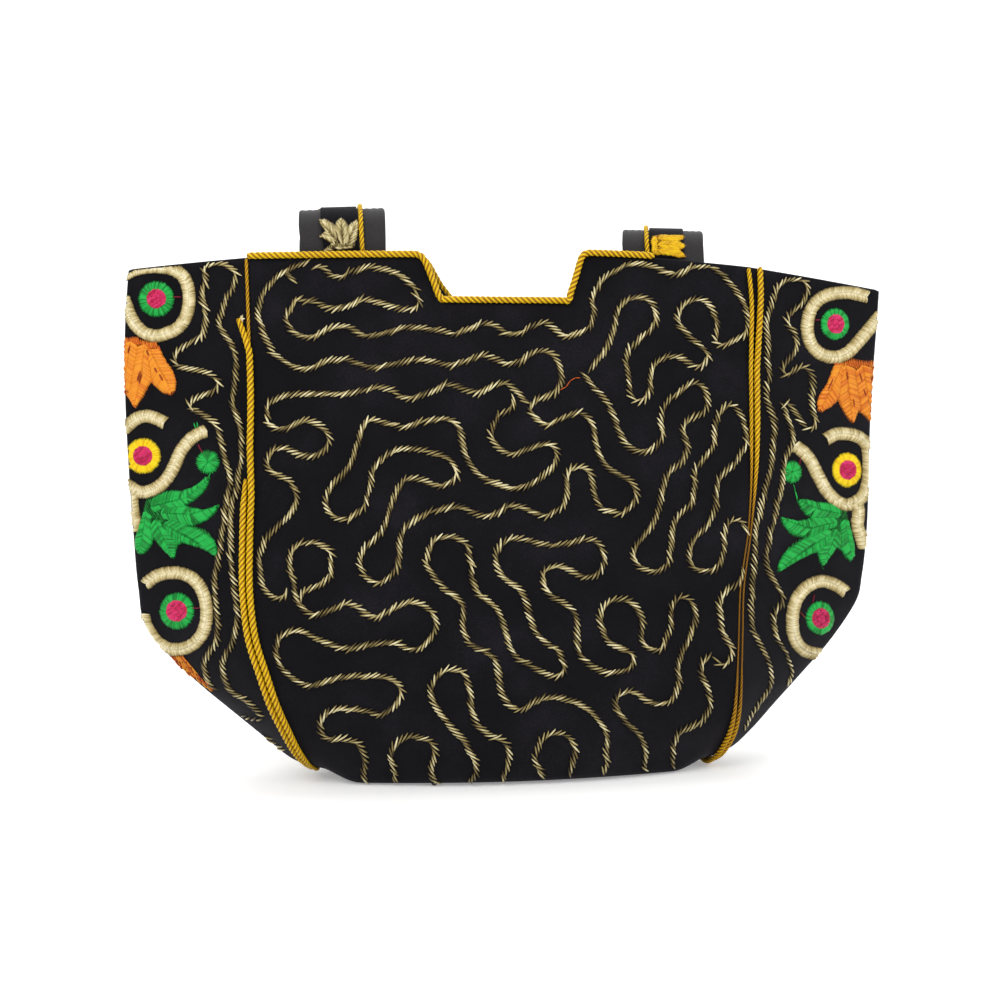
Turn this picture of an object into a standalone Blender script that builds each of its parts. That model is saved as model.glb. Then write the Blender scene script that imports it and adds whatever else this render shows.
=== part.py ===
"""Velvet tote bag with outward folded side panels, strap handles and laid gold thread work.
Sizes are in millimetres until solid() writes metres. The front faces -Y and the base rests on z = 0."""
import bpy
import math
import numpy as np
from mathutils import Vector
from mathutils.bvhtree import BVHTree
from mathutils.geometry import tessellate_polygon

MM = 0.001

for left_over in list(bpy.data.objects):
    bpy.data.objects.remove(left_over)

# Sheets
VELVET = 2.2          # thickness of the velvet with its backing
GAP = 0.3             # clearance kept between neighbours
LINING = 0.8          # thickness of the lining
LINING_DROP = 2.0     # how far the lining stops below the velvet's edge
BODY_COLUMNS = 16     # faces across the front
HALF_COLUMNS = 4      # faces across half a side panel
BACK_SHIFT = 13.0     # the back panel sits this far to the right of the front one
SHIFT_HEIGHT = 90.0   # the shift fades out below this height

# One line per level of the bag, from the top edge down to the base:
# left seam (x, y, z), right seam (x, y, z), left crease (x, z), right crease (x, z), middle of the front (y, z)
LEVELS = [
    ((131.0, 17.0, 267.5), (131.5, 17.0, 267.5), (189.0, 262.5), (209.5, 257.5), (19.5, 270.7)),
    ((130.5, 19.0, 250.0), (133.5, 19.0, 250.0), (190.0, 245.0), (208.8, 242.0), (22.5, 253.0)),
    ((130.0, 21.5, 229.0), (133.5, 21.5, 229.0), (191.0, 226.0), (207.8, 224.0), (26.5, 230.0)),
    ((129.5, 24.5, 200.0), (133.0, 24.5, 200.0), (191.0, 198.0), (206.5, 198.0), (32.0, 200.0)),
    ((130.5, 28.5, 165.0), (131.8, 28.5, 165.0), (190.0, 164.0), (206.0, 164.0), (37.5, 165.0)),
    ((132.0, 32.5, 130.0), (128.3, 32.5, 130.0), (188.0, 130.0), (205.8, 130.0), (42.0, 130.0)),
    ((132.0, 36.0, 100.0), (123.6, 36.0, 100.0), (186.0, 101.0), (203.5, 102.0), (45.5, 100.0)),
    ((129.5, 38.0, 80.0), (122.5, 38.0, 80.0), (183.5, 82.0), (200.0, 87.0), (47.0, 78.0)),
    ((124.0, 37.5, 62.0), (122.3, 37.5, 62.0), (170.0, 64.5), (184.0, 67.0), (47.0, 58.0)),
    ((119.0, 35.5, 47.0), (122.4, 35.5, 47.0), (154.0, 49.0), (168.0, 50.0), (45.5, 40.0)),
    ((113.5, 31.0, 34.0), (122.5, 31.0, 34.0), (138.0, 34.5), (153.5, 34.5), (42.0, 24.5)),
    ((107.5, 23.5, 21.5), (121.3, 23.5, 21.5), (122.5, 21.0), (139.5, 20.0), (35.5, 11.0)),
    ((101.8, 13.5, 12.0), (118.6, 13.5, 11.0), (109.5, 10.5), (128.0, 10.0), (26.0, 2.5)),
    ((98.5, 6.0, 8.0), (116.8, 6.0, 7.0), (101.5, 7.3), (120.0, 6.6), (18.0, 0.0)),
]
LEFT_TIP = (97.0, 7.0)     # x and z where the left side panel ends under the bag
RIGHT_TIP = (116.0, 6.0)
FLAT_SHARE = 0.6           # this share of the base's half width rests flat
FIRST_BASE_LEVEL = 12

# Notch in the velvet's top edge: half widths and floor height
NOTCH_TOP, NOTCH_BOTTOM, NOTCH_FLOOR = 44.5, 36.5, 246.5
BACK_NOTCH_SHIFT = 7.0
BACK_SLUMP_X, BACK_SLUMP_Z = 7.0, 10.0   # the back notch's left corner sags by this much

# Cords
TOP_CORD = 1.8        # radius
TOP_CORD_END = 80.0   # the front edge cord stops behind the right handle
EDGE_UP, EDGE_OUT = 1.75, 1.2
CORD_SIDES = 6

# Handles
STRAP_WIDTH, STRAP_THICK = 44.0, 2.2
RIBBON_FROM, RIBBON_TO, RIBBON_THICK = -11.0, 7.5, 0.8
RIBBON_START = 272.0
HANDLE_CORD, HANDLE_CORD_AT = 1.2, 9.3
LOOP_TOP, LOOP_DROP = 256.0, 60.0
LOOP_Y, LOOP_SWING = 36.0, 25.0
LOOP_MIDDLE = 4.0
NEST = 9.0            # the front handle hangs this far outside the back one
HANDLE_HALF = 84.0    # half the distance between a handle's legs

# Gold runs
RUN_WIDTH, RUN_CREST, RUN_HEIGHT, RUN_LIFT, RUN_STEP = 4.2, 2.4, 1.1, 0.4, 9.0
# Flat embroidery
PATCH_HEIGHT, PATCH_LIFT = 0.9, 0.45
BAND_WIDTH = 5.8

# Where the photograph was taken from, fitted by eye to the bag's corners; the centre of the picture is pixel 500, 500
CAMERA_AT = np.array([-144.4, -852.5, 214.4])
CAMERA_YAW, CAMERA_PITCH, CAMERA_ROLL = 9.66, 4.57, 0.31
CAMERA_FOCAL_PX = 1640.0
CENTRE_PX = 500.0

# Gold runs on the front, traced by eye in picture pixels
RUN_OUTER = [(302, 266), (293, 268), (285, 273), (277, 278), (270, 286), (264, 293), (261, 302), (260, 312), (262, 322), (265, 332),
    (270, 345), (279, 357), (293, 366), (306, 369), (320, 364), (334, 360), (348, 360), (364, 366), (382, 367), (400, 363), (418, 360),
    (432, 362), (447, 365), (463, 362), (477, 357), (488, 355), (500, 362), (514, 363), (528, 356), (540, 351), (552, 354), (559, 364),
    (561, 375), (557, 389), (547, 396), (537, 400), (531, 408)]
RUN_CHAIN = [(535, 418), (541, 424), (549, 425), (559, 420), (570, 415), (580, 413), (588, 418), (593, 427), (595, 440), (600, 455),
    (608, 467), (620, 475), (630, 481), (635, 491), (634, 501), (628, 509), (618, 514), (607, 511), (600, 505), (594, 493), (592, 479),
    (588, 470), (579, 467), (570, 470), (566, 480), (567, 493), (563, 505), (554, 512), (544, 516), (533, 512), (523, 508), (511, 505),
    (500, 511), (488, 516), (476, 513), (463, 508), (449, 507), (435, 510), (420, 517), (408, 524), (402, 534), (400, 546), (398, 560),
    (393, 573), (384, 581), (373, 582), (364, 574), (360, 562), (362, 550), (372, 541), (382, 531), (388, 516), (393, 500), (398, 488),
    (405, 480), (415, 478), (428, 482), (440, 486), (451, 482), (457, 472), (452, 462), (438, 454), (424, 450), (408, 449), (394, 451),
    (382, 458), (374, 469), (370, 484), (366, 501), (358, 512), (346, 520), (335, 517), (327, 507), (326, 495), (332, 485), (342, 476),
    (351, 462), (356, 447), (360, 434), (367, 422), (377, 419), (390, 423), (403, 427), (418, 423), (434, 420), (449, 420), (459, 428),
    (463, 444), (468, 460), (480, 475), (494, 483), (509, 488), (524, 487), (539, 479), (552, 468), (557, 456), (552, 446), (540, 446),
    (527, 450), (513, 454), (501, 450), (493, 439), (492, 427), (498, 415), (507, 410)]
RUN_THIRD = [(520, 394), (512, 388), (504, 384), (494, 385), (484, 391), (473, 392), (461, 388), (448, 385), (437, 389), (424, 394),
    (409, 398), (394, 391), (381, 387), (366, 390), (350, 393), (332, 394), (313, 394), (294, 395), (279, 398), (269, 404), (267, 416),
    (272, 426), (283, 429), (294, 425), (305, 421), (316, 424), (326, 431), (329, 442), (323, 452), (311, 456), (299, 454), (286, 449),
    (274, 450), (268, 459), (270, 470), (281, 476), (291, 483), (296, 495), (294, 508), (284, 520), (274, 531), (265, 541), (263, 555),
    (263, 570), (264, 586), (271, 596), (281, 597)]
RUN_LOW_LEFT = [(309, 590), (320, 585), (330, 576), (331, 563), (327, 549), (315, 543), (302, 543), (293, 552), (290, 565), (293, 580),
    (296, 596), (302, 607), (314, 614), (328, 612), (341, 606), (353, 606), (364, 613), (377, 617), (388, 611), (400, 605), (414, 602),
    (427, 607), (435, 617), (435, 630), (428, 641), (415, 648), (401, 645), (388, 642), (373, 644), (358, 647), (343, 648), (328, 643),
    (313, 636), (299, 631), (286, 634), (278, 643), (277, 656), (283, 668), (294, 678), (308, 685), (323, 682), (338, 678), (354, 676),
    (371, 676), (387, 678), (398, 685), (400, 697), (393, 707), (379, 713), (365, 710), (350, 708), (336, 709), (326, 714), (321, 724),
    (326, 736), (340, 738), (353, 741), (362, 749), (365, 762), (365, 774)]
RUN_UPPER = [(319, 268), (328, 274), (340, 277), (350, 272), (363, 268), (377, 268), (391, 272), (404, 279), (413, 288), (417, 299),
    (411, 308), (398, 308), (384, 304), (370, 300), (358, 301), (346, 307), (332, 308), (318, 303), (304, 301), (294, 305), (288, 314),
    (290, 327), (300, 336), (314, 337), (327, 329), (343, 327), (357, 332), (372, 336), (388, 332), (404, 328), (421, 328), (438, 330),
    (453, 334), (467, 330), (481, 324), (494, 326), (507, 334), (519, 334), (531, 327), (545, 323), (556, 330), (569, 336), (582, 332),
    (592, 323), (593, 309), (595, 293), (602, 280), (615, 273), (631, 269), (648, 270), (664, 274), (679, 276), (694, 271), (709, 271),
    (722, 275), (733, 288), (739, 300), (740, 315), (739, 329), (730, 341), (719, 344), (713, 334), (716, 320), (711, 307), (698, 300),
    (686, 303), (678, 313), (680, 325), (690, 338), (703, 349), (707, 359), (699, 366), (686, 361), (671, 356), (657, 362), (651, 375),
    (649, 391), (640, 401), (632, 394), (628, 380), (626, 363), (629, 350), (640, 340), (651, 330), (656, 317), (651, 303), (638, 297),
    (624, 302), (617, 314), (613, 332), (604, 351), (593, 365)]
RUN_RIGHT = [(587, 380), (595, 390), (605, 400), (612, 413), (617, 427), (624, 441), (635, 450), (648, 451), (658, 443), (662, 431),
    (661, 417), (666, 404), (678, 393), (692, 384), (702, 387), (707, 398), (703, 411), (690, 418), (683, 430), (686, 445), (684, 458),
    (674, 467), (666, 480), (661, 496), (657, 513), (648, 530), (637, 543), (633, 555), (641, 567), (654, 572), (665, 566), (670, 552),
    (672, 536), (675, 520), (687, 509), (693, 497), (695, 480), (697, 467), (707, 455), (714, 441), (715, 426), (722, 410), (733, 405),
    (740, 414), (742, 428), (741, 443), (736, 460), (722, 474), (717, 489), (715, 505), (708, 523), (696, 536), (690, 549), (692, 564),
    (706, 571), (719, 565), (724, 551), (724, 536), (729, 523), (738, 521)]
RUN_RIGHT_LOW = [(733, 586), (726, 591), (720, 604), (721, 620), (727, 638), (732, 650), (727, 661), (718, 661)]
RUN_RIGHT_FOOT = [(709, 656), (702, 664), (703, 680), (709, 696), (708, 712), (695, 724), (680, 732), (673, 745), (673, 759)]
RUN_MIDDLE = [(604, 769), (606, 755), (607, 738), (600, 722), (588, 709), (573, 701), (557, 697), (541, 699), (526, 707), (512, 707),
    (503, 695), (499, 679), (496, 662), (482, 650), (468, 642), (463, 627), (464, 610), (454, 596), (439, 583), (428, 568), (428, 553),
    (434, 541), (446, 537), (459, 539), (468, 549), (471, 565), (475, 585), (486, 599), (498, 611), (504, 627), (509, 645), (523, 661),
    (541, 671), (556, 674), (563, 665), (557, 651), (541, 638), (531, 622), (527, 604), (515, 586), (500, 574), (496, 558), (502, 544),
    (516, 538), (534, 541), (552, 546), (570, 543), (587, 540), (599, 545), (604, 558), (600, 571), (588, 577), (573, 572), (558, 566),
    (547, 570), (543, 582), (551, 595), (566, 605), (576, 618), (577, 635), (579, 652), (592, 666), (608, 672), (624, 670), (633, 660),
    (623, 649), (608, 640), (601, 625), (603, 609), (614, 600), (628, 600), (639, 611), (642, 626), (643, 641), (653, 649), (664, 643),
    (670, 629), (671, 613), (676, 600), (687, 598), (695, 611), (693, 627), (686, 644), (679, 660), (679, 677), (676, 692), (665, 703),
    (650, 702), (636, 693), (622, 692), (616, 703), (624, 719), (636, 731), (644, 745), (645, 760)]
RUN_FOOT_ARCH_1 = [(474, 777), (475, 762), (467, 745), (454, 729), (440, 713), (432, 697), (434, 681), (446, 670), (460, 671),
    (469, 683), (471, 700), (474, 716), (485, 731), (501, 739), (509, 752), (506, 768), (504, 776)]
RUN_FOOT_ARCH_2 = [(395, 777), (392, 763), (392, 750), (402, 739), (415, 736), (429, 741), (435, 752), (432, 766), (434, 776)]
RUN_FOOT_ARCH_3 = [(541, 773), (536, 759), (538, 745), (549, 734), (563, 733), (574, 745), (574, 758), (570, 770)]
# Gold runs on the side panels: one run on each, folded back on itself near the top edge
RUN_LEFT_PANEL = [(212, 686), (206, 672), (207, 657), (216, 644), (217, 628), (216, 610), (215, 592), (217, 573), (220, 553), (223, 533),
    (225, 514), (229, 494), (229, 476), (225, 459), (221, 440), (215, 424), (203, 415), (192, 408), (193, 400), (207, 394), (217, 385),
    (208, 373), (191, 369), (176, 363), (177, 353), (190, 343), (202, 336), (205, 320), (204, 303), (203, 288), (206, 274), (215, 266),
    (227, 267), (233, 280), (229, 295), (222, 310), (222, 327), (231, 344), (236, 362), (235, 382), (233, 402), (237, 420), (241, 440),
    (240, 460), (237, 480), (236, 498), (234, 517), (233, 536), (233, 556), (234, 576), (236, 597), (237, 617), (234, 637), (226, 655),
    (224, 672), (230, 687), (243, 697), (256, 708)]
RUN_RIGHT_PANEL = [(750, 714), (761, 700), (770, 685), (770, 667), (763, 650), (755, 633), (753, 614), (753, 595), (754, 575), (755, 555),
    (756, 535), (760, 515), (765, 495), (770, 475), (773, 455), (774, 435), (771, 415), (768, 395), (769, 375), (768, 355), (768, 335),
    (767, 317), (772, 301), (782, 286), (797, 280), (806, 289), (800, 304), (789, 317), (793, 332), (795, 347), (786, 361), (785, 373),
    (798, 369), (809, 373), (812, 388), (812, 404), (811, 420)]
RUN_RIGHT_PANEL_LOW = [(789, 678), (789, 663), (780, 645), (775, 628), (774, 612), (780, 598), (773, 581), (766, 564), (767, 546),
    (771, 527), (776, 508), (780, 489), (783, 469), (788, 451), (791, 434), (787, 417), (789, 406), (798, 414)]

# Cream bands on the side panels: centre lines
CREAM = {
    "left_cream_top": [(141, 279), (152, 275), (166, 273), (179, 277), (187, 288), (189, 300), (186, 316), (177, 328), (163, 334),
        (150, 334), (141, 327), (137, 318)],
    "left_cream_middle": [(163, 423), (152, 417), (143, 418), (137, 422)],
    "left_cream_curve": [(204, 431), (194, 437), (185, 447), (178, 462), (170, 476), (159, 486), (146, 491), (137, 491)],
    "left_cream_low": [(151, 581), (163, 574), (178, 573), (192, 578), (202, 589), (207, 604), (207, 620), (202, 635), (191, 645),
        (177, 648), (163, 644), (154, 635), (149, 626)],
    "right_cream_top": [(859, 297), (848, 293), (834, 294), (820, 300), (811, 312), (808, 328), (811, 343), (821, 354), (836, 357),
        (849, 351), (859, 340), (864, 330), (868, 322)],
    "right_cream_middle": [(829, 438), (842, 434), (853, 437), (861, 446), (862, 460), (862, 478), (857, 493), (849, 501),
        (838, 499), (828, 489), (821, 475), (814, 462), (805, 451)],
    "right_cream_tail": [(857, 514), (858, 527), (861, 540)],
    "right_cream_low": [(842, 589), (830, 583), (817, 583), (804, 591), (796, 603), (793, 618), (795, 633), (802, 645), (812, 652)],
}
# Flat patches on the side panels: outlines
PATCHES = {
    "left_orange_flower": [(129, 344), (141, 346), (155, 347), (160, 355), (166, 364), (173, 374), (175, 383), (171, 393), (162, 391),
        (152, 382), (147, 389), (141, 399), (135, 406), (130, 396)],
    "left_orange_low": [(174, 660), (184, 659), (191, 667), (200, 676), (207, 684), (196, 677), (184, 669)],
    "right_orange_flower": [(834, 369), (852, 367), (869, 368), (868, 385), (868, 402), (866, 412), (859, 409), (852, 421), (845, 412),
        (839, 400), (831, 406), (820, 409), (819, 400), (826, 387), (831, 377)],
    "left_green_leaves": [(147, 504), (158, 501), (170, 496), (182, 492), (193, 489), (202, 482), (207, 478), (206, 487), (199, 496),
        (186, 505), (198, 510), (209, 509), (216, 506), (210, 517), (198, 523), (188, 526), (199, 529), (209, 534), (213, 545),
        (213, 552), (204, 547), (190, 543), (179, 543), (173, 554), (164, 548), (154, 537), (149, 547), (140, 551), (139, 536),
        (142, 518)],
    "right_green_leaves": [(797, 502), (808, 501), (820, 504), (830, 509), (840, 515), (847, 516), (849, 528), (853, 544), (851, 558),
        (842, 549), (836, 546), (828, 556), (823, 564), (818, 550), (806, 555), (793, 562), (781, 568), (785, 555), (793, 545),
        (804, 537), (793, 532), (783, 522), (796, 521), (810, 518), (802, 511)],
    "left_green_dot": [(219, 462), (215, 470), (207, 473), (200, 469), (197, 461), (200, 454), (207, 451), (215, 454)],
    "right_green_dot": [(803, 473), (800, 481), (795, 484), (790, 480), (789, 472), (790, 466), (795, 463), (800, 466)],
}
# Round motifs: centre, outer half width and height, inner half width and height
ROUNDS = {
    "left_top_round": ((156.5, 299), (16.5, 17.0), (9.0, 9.5)),
    "left_middle_round": ((147, 456), (13.5, 17.0), (8.0, 9.0)),
    "left_low_round": ((177, 611), (16.0, 17.0), (9.5, 10.0)),
    "right_top_round": ((835, 324), (13.0, 15.0), (8.0, 8.5)),
    "right_middle_round": ((842, 470), (11.0, 15.5), (7.0, 8.5)),
    "right_low_round": ((820, 618), (13.0, 15.5), (8.0, 9.0)),
}
ROUND_SIDES = 14


def smooth(t):
    t = min(1.0, max(0.0, t))
    return t * t * (3.0 - 2.0 * t)


def unit(v):
    v = np.asarray(v, float)
    return v / max(np.linalg.norm(v), 1e-12)


def solid(name, points, faces):
    mesh = bpy.data.meshes.new(name)
    mesh.from_pydata([Vector(p) * MM for p in points], [], [tuple(int(i) for i in f) for f in faces])
    mesh.validate()
    made = bpy.data.objects.new(name, mesh)
    bpy.context.scene.collection.objects.link(made)
    return made


# The bag's outer surface as one net: the body sheet and the two side panels share their seam points
net_points, net_faces = [], {"body_panel": [], "left_side_panel": [], "right_side_panel": []}
TIP_ROW = len(LEVELS)
ROWS = 2 * TIP_ROW + 1


def back_shift(z):
    return BACK_SHIFT * smooth(z / SHIFT_HEIGHT)


def body_point(row, share):
    """Row 0 is the front's top edge, TIP_ROW the middle of the base, ROWS - 1 the back's top edge."""
    level = min(row, ROWS - 1 - row)
    if level < TIP_ROW:
        left, right, _, _, (mid_y, mid_z) = LEVELS[level]
    else:
        left, right = (LEFT_TIP[0], 0.0, LEFT_TIP[1]), (RIGHT_TIP[0], 0.0, RIGHT_TIP[1])
        mid_y, mid_z = 0.0, 0.0
    side = left if share < 0.5 else right
    x = -left[0] + (left[0] + right[0]) * share
    q = abs(2.0 * share - 1.0)
    y = mid_y + (side[1] - mid_y) * q * q
    if level >= FIRST_BASE_LEVEL:
        blend = smooth((q - FLAT_SHARE) / (1.0 - FLAT_SHARE))
    elif level > 7:
        blend = smooth((q - 0.3) / 0.7)
    else:
        blend = q * q
    z = mid_z + (side[2] - mid_z) * blend
    if row > TIP_ROW:
        return (x + back_shift(side[2]), y, z)
    return (x, -y, z)


body = np.zeros((ROWS, BODY_COLUMNS + 1), int)
for row in range(ROWS):
    for column in range(BODY_COLUMNS + 1):
        body[row, column] = len(net_points)
        net_points.append(body_point(row, column / BODY_COLUMNS))
for row in range(ROWS - 1):
    for column in range(BODY_COLUMNS):
        net_faces["body_panel"].append((body[row, column], body[row + 1, column], body[row + 1, column + 1], body[row, column + 1]))

panels = {}
for name, edge, sign, at in (("left_side_panel", 0, -1.0, 2), ("right_side_panel", BODY_COLUMNS, 1.0, 3)):
    grid = np.zeros((TIP_ROW, 2 * HALF_COLUMNS + 1), int)
    for row in range(TIP_ROW):
        front, back = body[row, edge], body[ROWS - 1 - row, edge]
        crease_x, crease_z = LEVELS[row][at]
        ends = [np.array(net_points[front]), np.array([sign * crease_x, 0.0, crease_z]), np.array(net_points[back])]
        for k in range(2 * HALF_COLUMNS + 1):
            if k == 0:
                grid[row, k] = front
            elif k == 2 * HALF_COLUMNS:
                grid[row, k] = back
            else:
                half, t = divmod(k, HALF_COLUMNS)
                t /= HALF_COLUMNS
                grid[row, k] = len(net_points)
                net_points.append(tuple(ends[half] * (1 - t) + ends[min(half + 1, 2)] * t))
    tip = body[TIP_ROW, edge]
    for row in range(TIP_ROW):
        for k in range(2 * HALF_COLUMNS):
            if row < TIP_ROW - 1:
                face = (grid[row, k], grid[row + 1, k], grid[row + 1, k + 1], grid[row, k + 1])
            else:
                face = (grid[row, k], tip, grid[row, k + 1])
            net_faces[name].append(face if sign > 0 else face[::-1])
    panels[name] = (grid, tip)

net_points = np.array(net_points, float)
for name, faces in net_faces.items():
    split = []
    for f in faces:
        split += [f] if len(f) == 3 else [(f[0], f[1], f[2]), (f[0], f[2], f[3])]
    net_faces[name] = [tuple(int(i) for i in f) for f in split]
all_faces = net_faces["body_panel"] + net_faces["left_side_panel"] + net_faces["right_side_panel"]


def face_normal(face):
    p = net_points[list(face)]
    return unit(np.cross(p[1] - p[0], p[2] - p[0]))


# At each point the outward step that moves every face around it by one millimetre, so folds and seams are mitred
steps = np.zeros_like(net_points)
around = [[] for _ in net_points]
for face in all_faces:
    n = face_normal(face)
    for i in face:
        around[i].append(n)
for i, normals in enumerate(around):
    a = np.array(normals)
    steps[i] = np.linalg.solve(a.T @ a + 1e-3 * np.eye(3), a.sum(axis=0))
outward = np.array([unit(s) for s in steps])


def shell(name, faces, outer, inner):
    """Closed sheet between two copies of the same faces, with a rim along every open edge."""
    used = sorted({i for f in faces for i in f})
    index = {i: n for n, i in enumerate(used)}
    points = [outer[i] for i in used] + [inner[i] for i in used]
    half = len(used)
    made = [tuple(index[i] for i in f) for f in faces]
    made += [tuple(index[i] + half for i in reversed(f)) for f in faces]
    edges = {}
    for f in faces:
        for a, b in zip(f, f[1:] + f[:1]):
            edges[(a, b)] = True
    for a, b in edges:
        if (b, a) not in edges:
            made.append((index[b], index[a], index[a] + half, index[b] + half))
    return solid(name, points, made)


# Velvet sheets, each pulled back from the seams by half the gap
for name, faces in net_faces.items():
    outer, inner = net_points.copy(), net_points - VELVET * steps
    if name == "body_panel":
        pairs = [(body[r, 0], body[r, 1]) for r in range(ROWS)] + [(body[r, -1], body[r, -2]) for r in range(ROWS)]
    else:
        grid, tip = panels[name]
        pairs = [(g[0], g[1]) for g in grid] + [(g[-1], g[-2]) for g in grid] + [(tip, grid[-1, HALF_COLUMNS])]
    for seam, inside in pairs:
        pull = unit(net_points[inside] - net_points[seam]) * GAP / 2
        outer[seam] = outer[seam] + pull
        inner[seam] = inner[seam] + pull
    shell(name, faces, outer, inner)

# Lining: the whole net moved inwards, its top edge a little lower
lowered = net_points.copy()
tops = [body[0], body[1]], [body[-1], body[-2]], [panels["left_side_panel"][0][0], panels["left_side_panel"][0][1]], \
    [panels["right_side_panel"][0][0], panels["right_side_panel"][0][1]]
for upper, lower in tops:
    for u, v in zip(upper, lower):
        lowered[u] = net_points[u] + unit(net_points[v] - net_points[u]) * LINING_DROP
shell("lining", all_faces, lowered - (VELVET + GAP) * steps, lowered - (VELVET + GAP + LINING) * steps)


# Notch cutters
def prism(name, outline, y_from, y_to):
    n = len(outline)
    points = [(x, y_from, z) for x, z in outline] + [(x, y_to, z) for x, z in outline]
    faces = [tuple(range(n)), tuple(reversed(range(n, 2 * n)))]
    faces += [(i + n, (i + 1) % n + n, (i + 1) % n, i) for i in range(n)]
    made = solid(name, points, faces)
    made.hide_render = True
    made.display_type = "WIRE"
    return made


front_outline = [(-NOTCH_BOTTOM, NOTCH_FLOOR), (NOTCH_BOTTOM, NOTCH_FLOOR), (NOTCH_TOP, 271.0), (NOTCH_TOP + 3, 285.0),
    (-NOTCH_TOP - 3, 285.0), (-NOTCH_TOP, 271.0)]
back_outline = [(x + BACK_NOTCH_SHIFT, z) for x, z in front_outline]
back_outline[0] = (-NOTCH_BOTTOM + BACK_NOTCH_SHIFT + BACK_SLUMP_X, NOTCH_FLOOR)
back_outline.append((-NOTCH_BOTTOM + BACK_NOTCH_SHIFT - 1.0, NOTCH_FLOOR + BACK_SLUMP_Z))
cutters = [prism("front_notch_cutter", front_outline, -60.0, -4.0), prism("back_notch_cutter", back_outline, 4.0, 60.0)]
for target in ("body_panel", "lining"):
    for cutter in cutters:
        cut = bpy.data.objects[target].modifiers.new(cutter.name, "BOOLEAN")
        cut.operation = "DIFFERENCE"
        cut.solver = "EXACT"
        cut.object = cutter

# Finding places on the outer surface
surface = BVHTree.FromPolygons([Vector(p) for p in net_points], [tuple(int(i) for i in f) for f in all_faces])


def surface_normal(face_index, at):
    ids = list(all_faces[face_index])
    weight = 1.0 / (np.linalg.norm(net_points[ids] - at, axis=1) + 1.0)
    return unit((outward[ids] * weight[:, None]).sum(axis=0) + face_normal(all_faces[face_index]) * weight.sum())


def cast(origin, direction):
    hit, _, index, _ = surface.ray_cast(Vector(origin), Vector(direction), 5000.0)
    if hit is None:
        return None
    at = np.array(hit)
    return at, surface_normal(index, at)


def height_over(at, normal):
    """How far a place stands above the bag's outer surface."""
    found = cast(at + normal * 12.0, -normal)
    return 0.0 if found is None else float(np.dot(at - found[0], normal))


def cleared(places, room):
    """The places, each pushed outwards until nothing of the bag is nearer than its room."""
    out = []
    for at, need in zip(places, room):
        at = np.array(at, float)
        for _ in range(6):
            near, normal, index, distance = surface.find_nearest(Vector(at))
            away = at - np.array(near)
            inside = np.dot(away, face_normal(all_faces[index])) < 0
            if not inside and distance >= need:
                break
            push = surface_normal(index, np.array(near))
            at = at + push * ((need - distance) if not inside else (need + distance))
        out.append(at)
    return np.array(out)


yaw, pitch, roll = (math.radians(v) for v in (CAMERA_YAW, CAMERA_PITCH, CAMERA_ROLL))
forward = np.array([math.sin(yaw) * math.cos(pitch), math.cos(yaw) * math.cos(pitch), -math.sin(pitch)])
level_right = np.array([math.cos(yaw), -math.sin(yaw), 0.0])
level_up = np.cross(level_right, forward)
camera_right = math.cos(roll) * level_right + math.sin(roll) * level_up
camera_up = -math.sin(roll) * level_right + math.cos(roll) * level_up


def from_picture(px, py):
    """The place on the bag seen at a picture pixel."""
    return cast(CAMERA_AT, unit(forward + camera_right * (px - CENTRE_PX) / CAMERA_FOCAL_PX - camera_up * (py - CENTRE_PX) / CAMERA_FOCAL_PX))


def from_front(x, z):
    return cast((x, -200.0, z), (0.0, 1.0, 0.0))


def from_back(x, z):
    return cast((x, 200.0, z), (0.0, -1.0, 0.0))


def curve(points, step):
    """A smooth line through the points, in steps of nearly equal length."""
    p = np.asarray(points, float)
    p = np.vstack([2 * p[0] - p[1], p, 2 * p[-1] - p[-2]])
    fine = []
    for i in range(1, len(p) - 2):
        for t in np.linspace(0, 1, 8, endpoint=False):
            fine.append(0.5 * (2 * p[i] + (p[i + 1] - p[i - 1]) * t + (2 * p[i - 1] - 5 * p[i] + 4 * p[i + 1] - p[i + 2]) * t * t
                + (3 * p[i] - p[i - 1] - 3 * p[i + 1] + p[i + 2]) * t ** 3))
    fine.append(p[-2])
    fine = np.array(fine)
    run = np.concatenate([[0], np.cumsum(np.linalg.norm(np.diff(fine, axis=0), axis=1))])
    count = max(2, int(round(run[-1] / step)) + 1)
    at = np.linspace(0, run[-1], count)
    return np.stack([np.interp(at, run, fine[:, k]) for k in range(p.shape[1])], axis=1)


def tangents(points):
    points = np.asarray(points, float)
    ahead = np.vstack([points[1:], 2 * points[-1] - points[-2]])
    behind = np.vstack([2 * points[0] - points[1], points[:-1]])
    return np.array([unit(v) for v in ahead - behind])


def outward_facing(made):
    mesh = made.data
    volume = 0.0
    for f in mesh.polygons:
        v = [mesh.vertices[i].co for i in f.vertices]
        for i in range(1, len(v) - 1):
            volume += v[0].dot(v[i].cross(v[i + 1]))
    if volume < 0:
        mesh.flip_normals()
    return made


def key_places(lines, tolerance, longest, normals=None, bulge=0.15):
    """Which places along several parallel lines are enough to follow them all within the tolerance,
    and with no place standing out of a chord, along its normal, by more than the bulge."""
    lines = [np.asarray(line, float) for line in lines]
    kept, start, last = [0], 0, len(lines[0]) - 1
    while start < last:
        end = start + 1
        while end < last:
            reach = end + 1
            worst = 0.0
            for line in lines:
                chord = line[reach] - line[start]
                size = np.linalg.norm(chord)
                off = line[start + 1:reach] - line[start]
                off = off - np.outer(off @ chord / size ** 2, chord)
                worst = max(worst, np.linalg.norm(off, axis=1).max() / tolerance)
                if normals is not None:
                    worst = max(worst, (off * normals[start + 1:reach]).sum(axis=1).max() / bulge)
            if worst > 1.0 or size > longest:
                break
            end = reach
        kept.append(end)
        start = end
    return kept


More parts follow.
